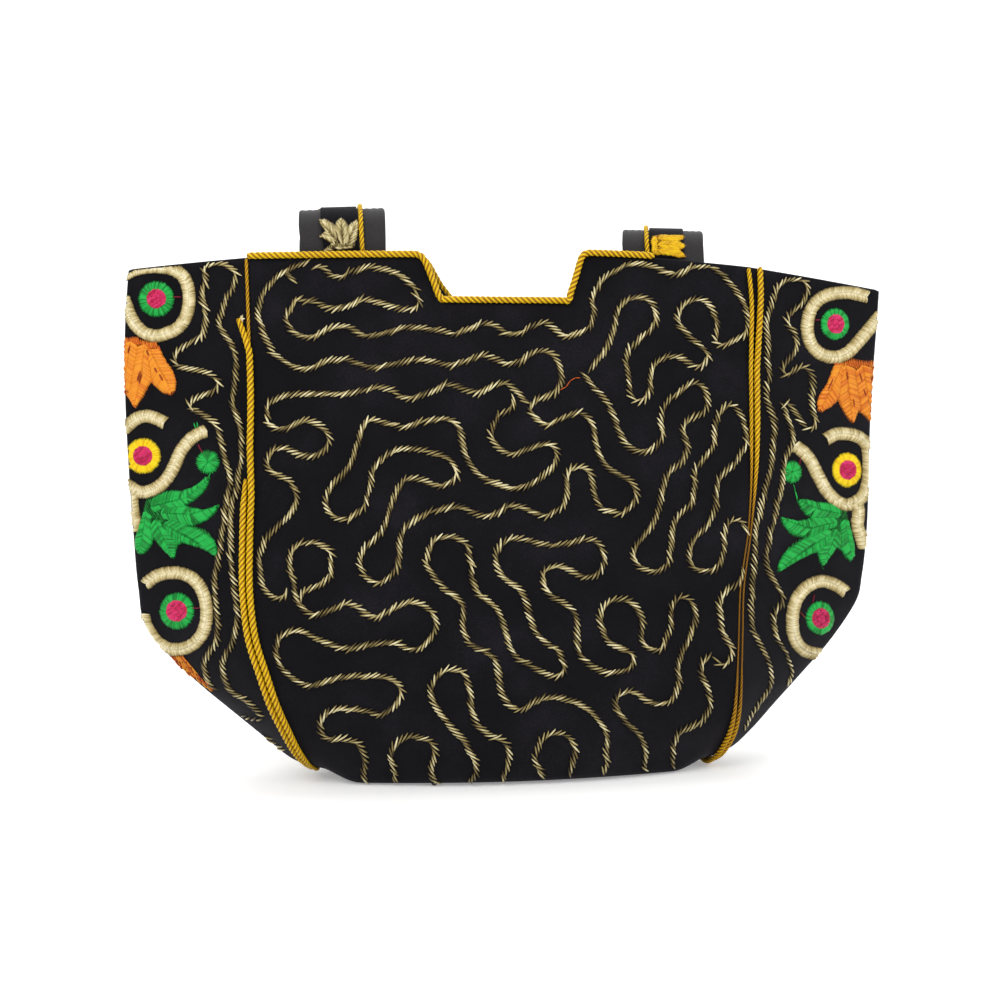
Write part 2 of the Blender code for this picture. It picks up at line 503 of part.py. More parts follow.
def sweep(name, sections, turned=()):
    """Closed body through rings of equal length; the strips named in turned are split the other way."""
    n = len(sections[0])
    points = [p for ring in sections for p in ring]
    faces = [tuple(reversed(range(n))), tuple(range((len(sections) - 1) * n, len(sections) * n))]
    for s in range(len(sections) - 1):
        for k in range(n):
            a, b = s * n + k, s * n + (k + 1) % n
            faces += [(a, b, a + n), (b, b + n, a + n)] if k in turned else [(a, b, b + n), (a, b + n, a + n)]
    return outward_facing(solid(name, points, faces))


def cord(name, path, radii):
    directions = tangents(path)
    side = unit(np.cross(directions[0], (0.3, 1.0, 0.2)))
    rings = []
    for at, along, radius in zip(path, directions, radii):
        side = unit(side - along * np.dot(side, along))
        other = np.cross(along, side)
        rings.append([at + radius * (math.cos(a) * side + math.sin(a) * other)
            for a in np.linspace(0, 2 * math.pi, CORD_SIDES, endpoint=False)])
    return sweep(name, rings)


# Seam cords: each runs from the front's top edge down the seam, under the side panel's tip and up the back
def seam_cord(name, edge, towards_panel, knots, first=None):
    """Knots give height, sideways place and radius; the cord keeps to heights below first."""
    grid, tip = panels["left_side_panel" if edge == 0 else "right_side_panel"]
    seam = body[:, edge]
    line = net_points[seam]
    up = outward[seam]
    along = tangents(line)
    inside = net_points[body[:, 1 if edge == 0 else -2]] - line
    places, radii = [], []
    for at, normal, direction, into in zip(line, up, along, inside):
        across = unit(np.cross(direction, normal))
        if np.dot(across, into) > 0:
            across = -across
        z = [k[0] for k in knots]
        offset = np.interp(at[2], z, [k[1] for k in knots])
        radius = np.interp(at[2], z, [k[2] for k in knots])
        places.append(at + normal * (radius + GAP) + across * offset * towards_panel)
        radii.append(radius)
    places, radii = np.array(places), np.array(radii)
    fine = curve(np.hstack([places, radii[:, None]]), 2.5)
    if first is not None:
        fine = fine[fine[:, 2] < first]
    places = cleared(fine[:, :3], fine[:, 3] + GAP)
    kept = key_places([places], 0.15, 28.0)
    return cord(name, places[kept], fine[kept, 3])


seam_cord("left_seam_cord_inner", 0, 1.0, [(0, -1.9, 1.6), (45, -1.9, 1.75), (150, -1.9, 1.75), (175, -0.3, 1.75), (222, 0.0, 1.7), (236, 0.0, 1.1), (270, 0.0, 1.1)])
seam_cord("left_seam_cord_outer", 0, 1.0, [(0, 1.8, 1.6), (45, 1.9, 1.75), (150, 1.9, 1.7), (170, 2.3, 1.2)], first=160.0)
seam_cord("right_seam_cord_inner", BODY_COLUMNS, 1.0, [(0, -1.8, 1.5), (40, -1.8, 1.5), (60, -2.0, 0.9), (150, -2.6, 0.9), (175, -3.3, 1.0), (270, -3.4, 1.1)])
seam_cord("right_seam_cord_outer", BODY_COLUMNS, 1.0, [(0, 1.8, 1.5), (40, 1.8, 1.5), (60, 1.2, 1.2), (130, 0.9, 1.3), (165, 0.6, 1.9), (270, 0.6, 2.0)])


# Top edge cords, following the notch
def edge_height(x, front):
    level = LEVELS[0]
    reach = level[0][0] if x < 0 else level[1][0]
    q = min(1.0, abs(x) / reach)
    side = level[0][2] if x < 0 else level[1][2]
    return level[4][1] + (side - level[4][1]) * q * q


def edge_cord(name, corners, find, shift):
    """Corners are the velvet's edge in x and z, walked from left to right; the cord lies above that edge."""
    line = np.array(corners, float)
    along = tangents(line)
    path = []
    for i, ((x, z), t) in enumerate(zip(line, along)):
        before = unit(line[i] - line[i - 1]) if i else t
        after = unit(line[i + 1] - line[i]) if i < len(line) - 1 else t
        square = unit(np.array([-before[1], before[0]]) + np.array([-after[1], after[0]]))
        length = EDGE_UP / max(0.6, np.dot(square, (-before[1], before[0])))
        found = find(x, z - 0.8)
        at, normal = found
        flat = unit((normal[0], normal[1], 0.0))
        path.append((x + square[0] * length + flat[0] * EDGE_OUT, at[1] + flat[1] * EDGE_OUT, z + square[1] * length))
    return cord(name, np.array(path), np.full(len(path), TOP_CORD))


def top_line(start, end, notch, shift, front):
    stops = []
    for x in np.linspace(start, notch[0][0], 6):
        stops.append((x, edge_height(x - shift, front)))
    stops += notch[1:-1]
    for x in np.linspace(notch[-1][0], end, 6):
        stops.append((x, edge_height(x - shift, front)))
    return stops


front_notch = [(-NOTCH_TOP, 270.2), (-0.5 * (NOTCH_TOP + NOTCH_BOTTOM), 258.5), (-NOTCH_BOTTOM, NOTCH_FLOOR), (-12.0, NOTCH_FLOOR),
    (12.0, NOTCH_FLOOR), (NOTCH_BOTTOM, NOTCH_FLOOR), (0.5 * (NOTCH_TOP + NOTCH_BOTTOM), 258.5), (NOTCH_TOP, 270.2)]
edge_cord("front_top_cord", top_line(-127.5, TOP_CORD_END, front_notch, 0.0, True), from_front, 0.0)
s = BACK_NOTCH_SHIFT
back_notch = [(-NOTCH_TOP + s, 270.2), (-NOTCH_BOTTOM + s - 1.0, NOTCH_FLOOR + BACK_SLUMP_Z), (-NOTCH_BOTTOM + s + BACK_SLUMP_X, NOTCH_FLOOR),
    (12.0 + s, NOTCH_FLOOR), (NOTCH_BOTTOM + s, NOTCH_FLOOR), (0.5 * (NOTCH_TOP + NOTCH_BOTTOM) + s, 258.5), (NOTCH_TOP + s, 270.2)]
edge_cord("back_top_cord", top_line(-127.5 + BACK_SHIFT, 127.5 + BACK_SHIFT, back_notch, BACK_SHIFT, False), from_back, 0.0)


# Handles: stations of centre, width direction and outer face direction
def handle_path(front):
    middle = 1.0 if front else 7.0
    stations = []

    def leg(side, places):
        width = np.array([-side, 0.0, 0.0])
        made = []
        for (y, z), (dy, dz) in places:
            direction = unit((0.0, dy, dz))
            made.append((np.array([middle + side * HANDLE_HALF, y, z]), width, unit(np.cross(width, direction))))
        return made

    def arch(points, count):
        smoothed = curve([(y, z) for y, z in points], 1.0)
        pick = np.linspace(0, len(smoothed) - 1, count).round().astype(int)
        smoothed = smoothed[pick]
        ahead = np.gradient(smoothed, axis=0)
        return list(zip([tuple(p) for p in smoothed], [tuple(d) for d in ahead]))

    top_left, top_right = (294.4, 286.4)
    if front:
        def over(top):
            low = top - 13.0
            return [(-16.6, 240.0), (-14.8, 255.0), (-12.8, 269.0), (-11.6, low - 1), (-9.4, low + 6.5), (-4.2, top - 2.2), (3.5, top),
                (16.0, top), (29.0, top), (36.0, top - 2.2), (41.2, low + 6.5), (43.4, low - 1), (LOOP_Y + NEST, 262.0),
                (LOOP_Y + NEST, LOOP_TOP + 0.5)]
        left_leg, right_leg = arch(over(top_left), 19), arch(over(top_right), 19)
    else:
        path = [(16.1, 240.0), (14.4, 255.0), (12.8, 266.5), (13.4, 273.5), (16.5, 278.6), (21.5, 281.2), (27.5, 281.2), (32.5, 278.4),
            (35.4, 272.8), (LOOP_Y, 266.0), (LOOP_Y, LOOP_TOP + 0.5)]
        left_leg, right_leg = arch(path, 14), arch(path, 14)
    stations += leg(-1.0, left_leg)
    for a in np.linspace(0, math.pi, 26)[1:-1]:
        centre = middle + (LOOP_MIDDLE - middle) * math.sin(a) ** 2
        place = np.array([centre - HANDLE_HALF * math.cos(a), LOOP_Y + LOOP_SWING * math.sin(a), LOOP_TOP - LOOP_DROP * math.sin(a)])
        direction = unit((HANDLE_HALF * math.sin(a), LOOP_SWING * math.cos(a), -LOOP_DROP * math.cos(a)))
        flat = unit((-direction[2], 0.0, direction[0]))
        twist = math.radians(90.0) * math.sin(a) ** 2
        width = math.cos(twist) * flat + math.sin(twist) * np.cross(flat, direction)
        face = unit(np.cross(width, direction))
        stations.append((place + face * (NEST if front else 0.0), width, face))
    turned = []
    for place, width, face in leg(1.0, right_leg)[::-1]:
        turned.append((place, width, face))
    # the right leg is walked downwards, so its outer face stays the outer one
    fixed = []
    for place, width, face in turned:
        fixed.append((place, width, -face))
    stations += fixed
    return stations


def strap(name, stations, across_from, across_to, face_from, face_to, keep=None):
    rings = []
    for place, width, face in stations:
        if keep is None or keep(place):
            stops = [w for w in (-STRAP_WIDTH / 2, RIBBON_FROM, RIBBON_TO, STRAP_WIDTH / 2) if across_from <= w <= across_to]
            rings.append([place + width * w + face * face_from for w in stops] + [place + width * w + face * face_to for w in stops[::-1]])
    return sweep(name, rings, range(len(stops), 2 * len(stops)))


def above_edge(place):
    return place[2] > RIBBON_START or place[1] > 21.0


for name, front, out in (("front", True, 1.0), ("back", False, -1.0)):
    stations = handle_path(front)
    half = STRAP_THICK / 2
    strap(name + "_handle_strap", stations, -STRAP_WIDTH / 2, STRAP_WIDTH / 2, -half, half)
    strap(name + "_handle_ribbon", stations, RIBBON_FROM, RIBBON_TO, out * (half + GAP), out * (half + GAP + RIBBON_THICK), above_edge)
    kept = [s for s in stations if above_edge(s[0])]
    path = np.array([p + w * HANDLE_CORD_AT + f * out * (half + 2 * GAP + HANDLE_CORD) for p, w, f in kept])
    cord(name + "_handle_cord", path, np.full(len(path), HANDLE_CORD))


# Gold runs and cream bands: low ridges that follow the surface
def ridge(name, pixels, width, top, height, lift, longest):
    centres, normals = [], []
    for px, py in curve(pixels, 3.0):
        found = from_picture(px, py)
        if found is not None:
            centres.append(found[0])
            normals.append(found[1])
    along = tangents(centres)
    edges = ([], [])
    for at, normal, t in zip(centres, normals, along):
        side = unit(np.cross(normal, t))
        for edge, way in zip(edges, (-1.0, 1.0)):
            foot = at + side * way * width / 2
            found = cast(foot + normal * 6.0, -normal)
            edge.append(found[0] if found is not None and np.linalg.norm(found[0] - foot) < 2.0 else foot)
    kept = key_places([edges[0], edges[1], centres], 0.7, longest, np.array(normals), 0.2)
    rings = []
    for i in kept:
        left, right, normal = edges[0][i], edges[1][i], normals[i]
        inset = (right - left) * 0.5 * (1.0 - top / width)
        bulge = max(0.0, float(np.dot(np.array(centres[i]) - (left + right) / 2, normal)))
        up = normal * (lift + bulge)
        rings.append([left + up, right + up, right - inset + up + normal * (height - lift), left + inset + up + normal * (height - lift)])
    return sweep(name, rings)


RUNS = {
    "gold_run_outer": RUN_OUTER, "gold_run_chain": RUN_CHAIN, "gold_run_third": RUN_THIRD, "gold_run_upper": RUN_UPPER,
    "gold_run_low_left": RUN_LOW_LEFT, "gold_run_right": RUN_RIGHT, "gold_run_right_low": RUN_RIGHT_LOW,
    "gold_run_right_foot": RUN_RIGHT_FOOT, "gold_run_middle": RUN_MIDDLE, "gold_run_foot_left": RUN_FOOT_ARCH_2,
    "gold_run_foot_middle": RUN_FOOT_ARCH_1, "gold_run_foot_right": RUN_FOOT_ARCH_3, "gold_run_left_panel": RUN_LEFT_PANEL,
    "gold_run_right_panel": RUN_RIGHT_PANEL, "gold_run_right_panel_low": RUN_RIGHT_PANEL_LOW,
}
for name, pixels in RUNS.items():
    ridge(name, pixels, RUN_WIDTH, RUN_CREST, RUN_HEIGHT, RUN_LIFT, RUN_STEP)
for name, pixels in CREAM.items():
    ridge(name, pixels, BAND_WIDTH, BAND_WIDTH - 0.8, PATCH_HEIGHT, PATCH_LIFT, 8.0)


def on_surface(pixels, height):
    return [at + normal * height for at, normal in (from_picture(px, py) for px, py in pixels)]


def flat_body(name, loops):
    """Closed flat body over outlines in the picture: the first is the outer edge, any others are holes."""
    ground = [on_surface(loop, 0.0) for loop in loops]
    flat = [[Vector((px, -py, 0.0)) for px, py in loop] for loop in loops]
    triangles = tessellate_polygon(flat)
    points = [p for loop in ground for p in loop]
    pixels = [p for loop in loops for p in loop]
    normals = [from_picture(px, py)[1] for px, py in pixels]
    mean = unit(np.sum(normals, axis=0))
    lift = PATCH_LIFT
    for tri in triangles:
        for share in ((1, 1, 1), (4, 1, 1), (1, 4, 1), (1, 1, 4), (1, 1, 0), (0, 1, 1), (1, 0, 1)):
            at = sum(points[i] * w for i, w in zip(tri, share)) / sum(share)
            lift = max(lift, PATCH_LIFT - height_over(at, mean))
    n = len(points)
    made = [p + mean * lift for p in points] + [p + mean * (lift + PATCH_HEIGHT) for p in points]
    faces = []
    for tri in triangles:
        a, b, c = (np.array(pixels[i]) for i in tri)
        turn = (b[0] - a[0]) * (c[1] - a[1]) - (b[1] - a[1]) * (c[0] - a[0])
        if turn < 0:
            tri = tri[::-1]
        faces += [tuple(tri), tuple(i + n for i in reversed(tri))]
    edges = {}
    for f in faces[::2]:
        for a, b in zip(f, f[1:] + f[:1]):
            edges[(a, b)] = True
    for a, b in edges:
        if (b, a) not in edges:
            faces += [(b, a, a + n), (b, a + n, b + n)]
    outward_facing(solid(name, made, faces))


def oval(centre, half_width, half_height):
    return [(centre[0] + half_width * math.cos(a), centre[1] + half_height * math.sin(a))
        for a in np.linspace(0, 2 * math.pi, ROUND_SIDES, endpoint=False)]


for name, pixels in PATCHES.items():
    flat_body(name, [pixels])
for name, (centre, outer, inner) in ROUNDS.items():
    flat_body(name, [oval(centre, *outer), oval(centre, *inner)[::-1]])
    flat_body(name + "_centre", [oval(centre, inner[0] - 0.8, inner[1] - 0.8)])
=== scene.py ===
# %% [markdown]
# Velvet tote bag.
# The bag is one sheet of black velvet that runs down the front, under the base and up the back.
# Two tongue-shaped side panels are sewn to its edges and fold outwards along a centre crease.
# Gold floss is laid over the front in wandering runs, and the side panels carry bright satin motifs.
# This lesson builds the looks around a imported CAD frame. Sizes are in millimetres until a mesh is written.

import math
import random

import bmesh
import bpy
import numpy as np
from mathutils import Matrix, Vector, noise
from mathutils.bvhtree import BVHTree


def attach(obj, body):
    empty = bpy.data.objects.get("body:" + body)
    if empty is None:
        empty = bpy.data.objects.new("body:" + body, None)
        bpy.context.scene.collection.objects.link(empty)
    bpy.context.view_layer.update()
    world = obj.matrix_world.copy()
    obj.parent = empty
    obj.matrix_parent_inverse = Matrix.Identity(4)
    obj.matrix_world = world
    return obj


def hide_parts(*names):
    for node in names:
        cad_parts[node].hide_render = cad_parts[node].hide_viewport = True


MM = 0.001
bpy.context.scene.view_settings.view_transform = "Standard"
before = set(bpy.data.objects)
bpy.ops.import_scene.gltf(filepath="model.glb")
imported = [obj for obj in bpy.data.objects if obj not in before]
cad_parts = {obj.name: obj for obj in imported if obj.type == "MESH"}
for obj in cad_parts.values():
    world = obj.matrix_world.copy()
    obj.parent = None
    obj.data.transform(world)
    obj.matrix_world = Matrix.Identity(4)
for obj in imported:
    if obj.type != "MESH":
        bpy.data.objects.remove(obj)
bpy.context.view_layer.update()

# %% [markdown]
# The camera stands where the photograph was taken from: a little to the left of the bag and slightly above it.
# Its place and turn were fitted to the bag's corners. The embroidery below is written in picture pixels,
# so the same camera also tells where each stitch lies on the cloth.

# %% Camera
CAMERA_AT = np.array([-144.4, -852.5, 214.4])
YAW, PITCH, ROLL = (math.radians(angle) for angle in (9.66, 4.57, 0.31))
FOCAL_PX, CENTRE_PX, SENSOR_MM, PICTURE_PX = 1640.2, 500.0, 36.0, 1000.0
FORWARD = np.array([
    math.sin(YAW) * math.cos(PITCH), math.cos(YAW) * math.cos(PITCH), -math.sin(PITCH)])
level_right = np.array([math.cos(YAW), -math.sin(YAW), 0.0])
level_up = np.cross(level_right, FORWARD)
CAMERA_RIGHT = math.cos(ROLL) * level_right + math.sin(ROLL) * level_up
CAMERA_UP = -math.sin(ROLL) * level_right + math.cos(ROLL) * level_up

camera_data = bpy.data.cameras.new("camera")
camera_data.sensor_width = SENSOR_MM
camera_data.lens = FOCAL_PX * SENSOR_MM / PICTURE_PX
camera_data.clip_start, camera_data.clip_end = 0.05, 20.0
camera = bpy.data.objects.new("camera", camera_data)
turn = Matrix([list(row) for row in np.array([CAMERA_RIGHT, CAMERA_UP, -FORWARD]).T])
camera.matrix_world = Matrix.Translation(Vector(CAMERA_AT * MM)) @ turn.to_4x4()
bpy.context.scene.collection.objects.link(camera)
bpy.context.scene.camera = camera
print("lens", round(camera_data.lens, 2), "mm")

# %% [markdown]
# Every material and the stitching below are node trees. One small function adds a node of any kind with its
# settings and links, and another fills the inputs of a node that is already there. Colours are written as
# sRGB hex values, as a paint program shows them, and turned to the linear values that the shaders take.

# %% Colours and nodes


def linear(hex_colour):
    """An sRGB hex colour as the linear values that Blender's shaders take."""
    parts = [int(hex_colour[i:i + 2], 16) / 255 for i in (1, 3, 5)]
    return [c / 12.92 if c <= 0.04045 else ((c + 0.055) / 1.055) ** 2.4 for c in parts] + [1.0]


def fill(tree, node, **inputs):
    """Gives each named input a value, or a link from a socket or from a node's first output.

    i0, i1 and so on name an input by its place, where several have one name.
    """
    for name, value in inputs.items():
        by_place = name[0] == "i" and name[1:].isdigit()
        socket = node.inputs[int(name[1:]) if by_place else name.replace("_", " ")]
        if isinstance(value, bpy.types.Node):
            value = value.outputs[0]
        if isinstance(value, bpy.types.NodeSocket):
            tree.links.new(value, socket)
        else:
            socket.default_value = value
    return node


def add(tree, kind, settings=None, **inputs):
    """A node with its settings and inputs. "stops" are a colour ramp's (place, hex colour) pairs."""
    made = tree.nodes.new(kind)
    for name, value in (settings or {}).items():
        if name != "stops":
            setattr(made, name, value)
            continue
        elements = made.color_ramp.elements
        while len(elements) < len(value):
            elements.new(0.5)
        for element, (place, colour) in zip(elements, value):
            element.position = place
            element.color = linear(colour)
    return fill(tree, made, **inputs)


def new_material(name):
    """A material with one Principled shader, its node tree and that shader."""
    made = bpy.data.materials.new(name)
    made.use_nodes = True
    tree = made.node_tree
    tree.nodes.clear()
    shader = add(tree, "ShaderNodeBsdfPrincipled")
    add(tree, "ShaderNodeOutputMaterial", Surface=shader)
    return made, tree, shader


MATH, NOISE, RAMP = "ShaderNodeMath", "ShaderNodeTexNoise", "ShaderNodeValToRGB"
TIMES, TIMES_PLUS, PLUS, MINUS, LARGER, SINE, UNSIGNED = (
    {"operation": word} for word in ("MULTIPLY", "MULTIPLY_ADD", "ADD", "SUBTRACT", "MAXIMUM", "SINE", "ABSOLUTE"))
print("sRGB 50% grey is linear", round(linear("#808080")[0], 3))

# %% [markdown]
# The studio is plain: a pale paper floor that curves up behind the bag, so that no horizon shows. The paper
# glows a little, but only as the camera and reflections see it. That makes it white without more light on the
# bag, and the bag's shadow still falls on it.

# %% Floor
FLOOR_HALF, CURVE_FROM, CURVE_RADIUS, CURVE_STEPS, WALL_TOP = 4000.0, 900.0, 900.0, 16, 3500.0
PAPER_GLOW, PAPER_GRAIN = 0.26, 40.0


def unit(v):
    """The vector at a length of one."""
    v = np.asarray(v, float)
    return v / max(np.linalg.norm(v), 1e-12)


def write_mesh(name, points, faces, smooth=True):
    """An object at the origin from points in millimetres."""
    mesh = bpy.data.meshes.new(name)
    mesh.from_pydata((np.asarray(points, float) * MM).tolist(), [], [tuple(int(i) for i in f) for f in faces])
    mesh.validate()
    mesh.shade_smooth() if smooth else mesh.shade_flat()
    made = bpy.data.objects.new(name, mesh)
    bpy.context.scene.collection.objects.link(made)
    return made


def seen_directly(tree):
    """1 for rays from the camera, from a mirror or through glass, and 0 for light on its way to a thing."""
    path = add(tree, "ShaderNodeLightPath").outputs
    viewed = add(tree, MATH, LARGER, i0=path["Is Camera Ray"], i1=path["Is Glossy Ray"])
    return add(tree, MATH, LARGER, i0=viewed, i1=path["Is Transmission Ray"])


profile = [(-FLOOR_HALF, 0.0), (CURVE_FROM, 0.0)]
for a in np.linspace(0, math.pi / 2, CURVE_STEPS + 1)[1:]:
    profile.append((CURVE_FROM + CURVE_RADIUS * math.sin(a), CURVE_RADIUS * (1 - math.cos(a))))
profile.append((CURVE_FROM + CURVE_RADIUS, WALL_TOP))
points = [(x, y, z) for y, z in profile for x in (-FLOOR_HALF, FLOOR_HALF)]
quads = [(2 * i, 2 * i + 1, 2 * i + 3, 2 * i + 2) for i in range(len(profile) - 1)]
floor = write_mesh("studio_floor", points, quads)
paper, tree, shader = new_material("matt_white_paper")
grain = add(tree, NOISE, Scale=PAPER_GRAIN).outputs["Fac"]
white = add(tree, RAMP, {"stops": [(0.3, "#fafafa"), (0.7, "#fefefe")]}, Fac=grain)
fill(tree, shader, Base_Color=white, Roughness=0.95, Specular_IOR_Level=0.1)
glow = add(tree, MATH, TIMES, i0=seen_directly(tree), i1=PAPER_GLOW)
lightbox = add(tree, "ShaderNodeEmission", Color=linear("#ffffff"), Strength=glow)
both = add(tree, "ShaderNodeAddShader", i0=shader, i1=lightbox)
output = next(node for node in tree.nodes if node.bl_idname == "ShaderNodeOutputMaterial")
fill(tree, output, Surface=both)
floor.data.materials.append(paper)
print("floor of", len(quads), "strips")

# %% [markdown]
# Large lamps give the soft light of a catalogue picture, and black velvet needs light from the sides to show
# its pile. The world lights the bag at less than half strength, and is plain white where it is seen.

# %% World and lamps
AMBIENT = 0.45
LAMPS = {  # name: place in metres, size in metres, power in watts
    "key_lamp": ((-1.3, -1.6, 1.7), 1.3, 29.0),
    "fill_lamp": ((1.5, -1.5, 1.1), 1.5, 16.0),
    "top_lamp": ((0.0, 0.4, 2.1), 1.6, 15.0),
    "back_lamp": ((0.4, 1.7, 1.2), 1.4, 10.0),
}
LIT_PLACE = (0, 0, 0.12)

world = bpy.data.worlds.new("studio")
bpy.context.scene.world = world
world.use_nodes = True
tree = world.node_tree
tree.nodes.clear()
ambient, backdrop = (
    add(tree, "ShaderNodeBackground", Color=linear("#ffffff"), Strength=strength) for strength in (AMBIENT, 1.0))
mixed = add(tree, "ShaderNodeMixShader", Fac=seen_directly(tree), i1=ambient, i2=backdrop)
add(tree, "ShaderNodeOutputWorld", Surface=mixed)
for name, (place, size, power) in LAMPS.items():
    lamp = bpy.data.lights.new(name, "AREA")
    lamp.size, lamp.energy = size, power
    holder = bpy.data.objects.new(name, lamp)
    holder.location = place
    holder.rotation_mode = "QUATERNION"
    holder.rotation_quaternion = (Vector(LIT_PLACE) - Vector(place)).to_track_quat("-Z", "Y")
    bpy.context.scene.collection.objects.link(holder)
print(len(LAMPS), "lamps")

# %% [markdown]
# The shape of the bag is a table of levels, from the top edge down to the base. Each level gives both seams,
# both creases and the middle of the front. A smooth curve through the levels gives the soft outline of filled
# cloth, and the back is the front mirrored, pushed a little to the right at its top, as the bag has slumped.

# %% The levels of the bag
# left seam (x, y, z), right seam (x, y, z), left crease (x, z), right crease (x, z), middle of the front (y, z)
LEVELS = [
    ((131.0, 17.0, 268.5), (131.5, 17.0, 267.8), (189.8, 262.6), (209.5, 257.5), (18.9, 274.0)),
    ((130.5, 19.0, 250.0), (133.5, 19.0, 250.0), (191.2, 246.0), (208.8, 242.0), (22.5, 253.0)),
    ((130.0, 21.5, 229.0), (133.5, 21.5, 229.0), (192.2, 226.0), (207.8, 224.0), (26.5, 230.0)),
    ((129.5, 24.5, 200.0), (133.0, 24.5, 200.0), (192.2, 198.0), (206.5, 198.0), (32.0, 200.0)),
    ((130.5, 28.5, 165.0), (131.8, 28.5, 165.0), (191.0, 164.0), (206.0, 164.0), (37.5, 165.0)),
    ((132.0, 32.5, 130.0), (128.3, 32.5, 130.0), (189.0, 130.0), (205.8, 130.0), (42.0, 130.0)),
    ((132.0, 36.0, 100.0), (123.6, 36.0, 100.0), (186.8, 101.0), (203.5, 102.0), (45.5, 100.0)),
    ((129.5, 38.0, 80.0), (122.5, 38.0, 80.0), (183.5, 82.0), (200.0, 87.0), (47.0, 78.0)),
    ((124.0, 37.5, 62.0), (122.3, 37.5, 62.0), (170.0, 64.5), (185.5, 66.0), (47.0, 58.0)),
    ((119.0, 35.5, 47.0), (122.4, 35.5, 47.0), (154.0, 49.0), (169.8, 48.8), (45.5, 40.0)),
    ((113.5, 31.0, 34.0), (122.5, 31.0, 34.0), (138.0, 35.0), (155.2, 33.2), (42.5, 24.0)),
    ((107.5, 23.5, 21.0), (121.3, 23.5, 21.0), (122.5, 21.5), (141.6, 18.4), (38.5, 9.5)),
    ((101.8, 13.5, 11.0), (118.6, 13.5, 9.5), (109.5, 10.5), (130.4, 8.6), (31.5, 1.8)),
    ((98.5, 6.0, 7.0), (116.8, 6.0, 5.0), (101.5, 6.6), (121.5, 4.8), (22.0, 0.0)),
    ((97.0, 0.0, 6.0), (116.0, 0.0, 4.0), (97.0, 6.0), (116.0, 4.0), (0.0, 0.0)),
]
TIP = len(LEVELS) - 1
BACK_SHIFT, SHIFT_HEIGHT = 13.0, 90.0  # how far the back is pushed to the right, in full above this height
FLAT_SHARE, BEND_SHARE = 0.76, 0.3  # the share of the base, and of the bend above it, that stays level
FIRST_BASE_LEVEL, LAST_SQUARE_LEVEL = 12, 7


def ease(t):
    """0 below 0, 1 above 1, and a soft step between."""
    t = min(1.0, max(0.0, t))
    return t * t * (3.0 - 2.0 * t)


def body_level(row, share):
    """A point of the body sheet. Row 0 is the front's top edge, TIP the base, 2 * TIP the back's top edge."""
    level = min(row, 2 * TIP - row)
    left, right, _, _, (mid_y, mid_z) = LEVELS[level]
    side = left if share < 0.5 else right
    q = abs(2.0 * share - 1.0)
    y = mid_y + (side[1] - mid_y) * q * q
    if level >= FIRST_BASE_LEVEL:
        blend = ease((q - FLAT_SHARE) / (1.0 - FLAT_SHARE))
    elif level > LAST_SQUARE_LEVEL:
        blend = ease((q - BEND_SHARE) / (1.0 - BEND_SHARE))
    else:
        blend = q * q
    x = -left[0] + (left[0] + right[0]) * share
    if row > TIP:
        return (x + BACK_SHIFT * ease(side[2] / SHIFT_HEIGHT), y, mid_z + (side[2] - mid_z) * blend)
    return (x, -y, mid_z + (side[2] - mid_z) * blend)


def through(keys, values, at):
    """A smooth curve through values at the keys, read at other places."""
    keys, values, at = np.asarray(keys, float), np.asarray(values, float), np.asarray(at, float)
    steps = np.diff(keys)
    slopes = np.diff(values, axis=0) / steps[:, None]
    between = (slopes[:-1] * steps[1:, None] + slopes[1:] * steps[:-1, None]) / (steps[1:] + steps[:-1])[:, None]
    lean = np.vstack([slopes[:1], between, slopes[-1:]])
    i = np.clip(np.searchsorted(keys, at, side="right") - 1, 0, len(keys) - 2)
    h = steps[i][:, None]
    t = ((at - keys[i]) / steps[i])[:, None]
    return ((2 * t ** 3 - 3 * t ** 2 + 1) * values[i] + (t ** 3 - 2 * t ** 2 + t) * h * lean[i]
        + (3 * t ** 2 - 2 * t ** 3) * values[i + 1] + (t ** 3 - t ** 2) * h * lean[i + 1])


print(len(LEVELS), "levels from", LEVELS[0][4][1], "mm down to the base")

# %% [markdown]
# The top edge has a notch front and back. A cut in the finished mesh would leave ragged faces, so the grid
# itself is bent instead: each column of the sheet starts where the edge is at that column, and the columns
# stand closer together at the notch's corners. Slow, shallow waves keep the cloth from looking machined.

# %% The top edge
EDGE_Z, NOTCH_TOP, NOTCH_BOTTOM, NOTCH_FLOOR = 271.0, 44.5, 36.5, 248.0
BACK_NOTCH_SHIFT, BACK_SLUMP_X, BACK_SLUMP_Z = 7.0, 7.0, 10.0
RIGHT_RISE, RISE_OVER, FALL_FROM, FALL_OVER = 2.2, 50.0, 95.0, 40.0  # the front's right half stands a little higher
# the notch's corners: how far across and how high, where None is on the plain edge
FRONT_NOTCH = [
    (-NOTCH_TOP, None), (-NOTCH_BOTTOM, NOTCH_FLOOR), (NOTCH_BOTTOM - 5.7, NOTCH_FLOOR), (NOTCH_TOP - 3.8, None)]
BACK_NOTCH = [
    (-NOTCH_TOP + BACK_NOTCH_SHIFT, None), (-NOTCH_BOTTOM + BACK_NOTCH_SHIFT - 1.0, NOTCH_FLOOR + BACK_SLUMP_Z),
    (-NOTCH_BOTTOM + BACK_NOTCH_SHIFT + BACK_SLUMP_X, NOTCH_FLOOR), (NOTCH_BOTTOM + BACK_NOTCH_SHIFT, NOTCH_FLOOR),
    (NOTCH_TOP + BACK_NOTCH_SHIFT, None)]
LEFT_X, RIGHT_X = -LEVELS[0][0][0], LEVELS[0][1][0]


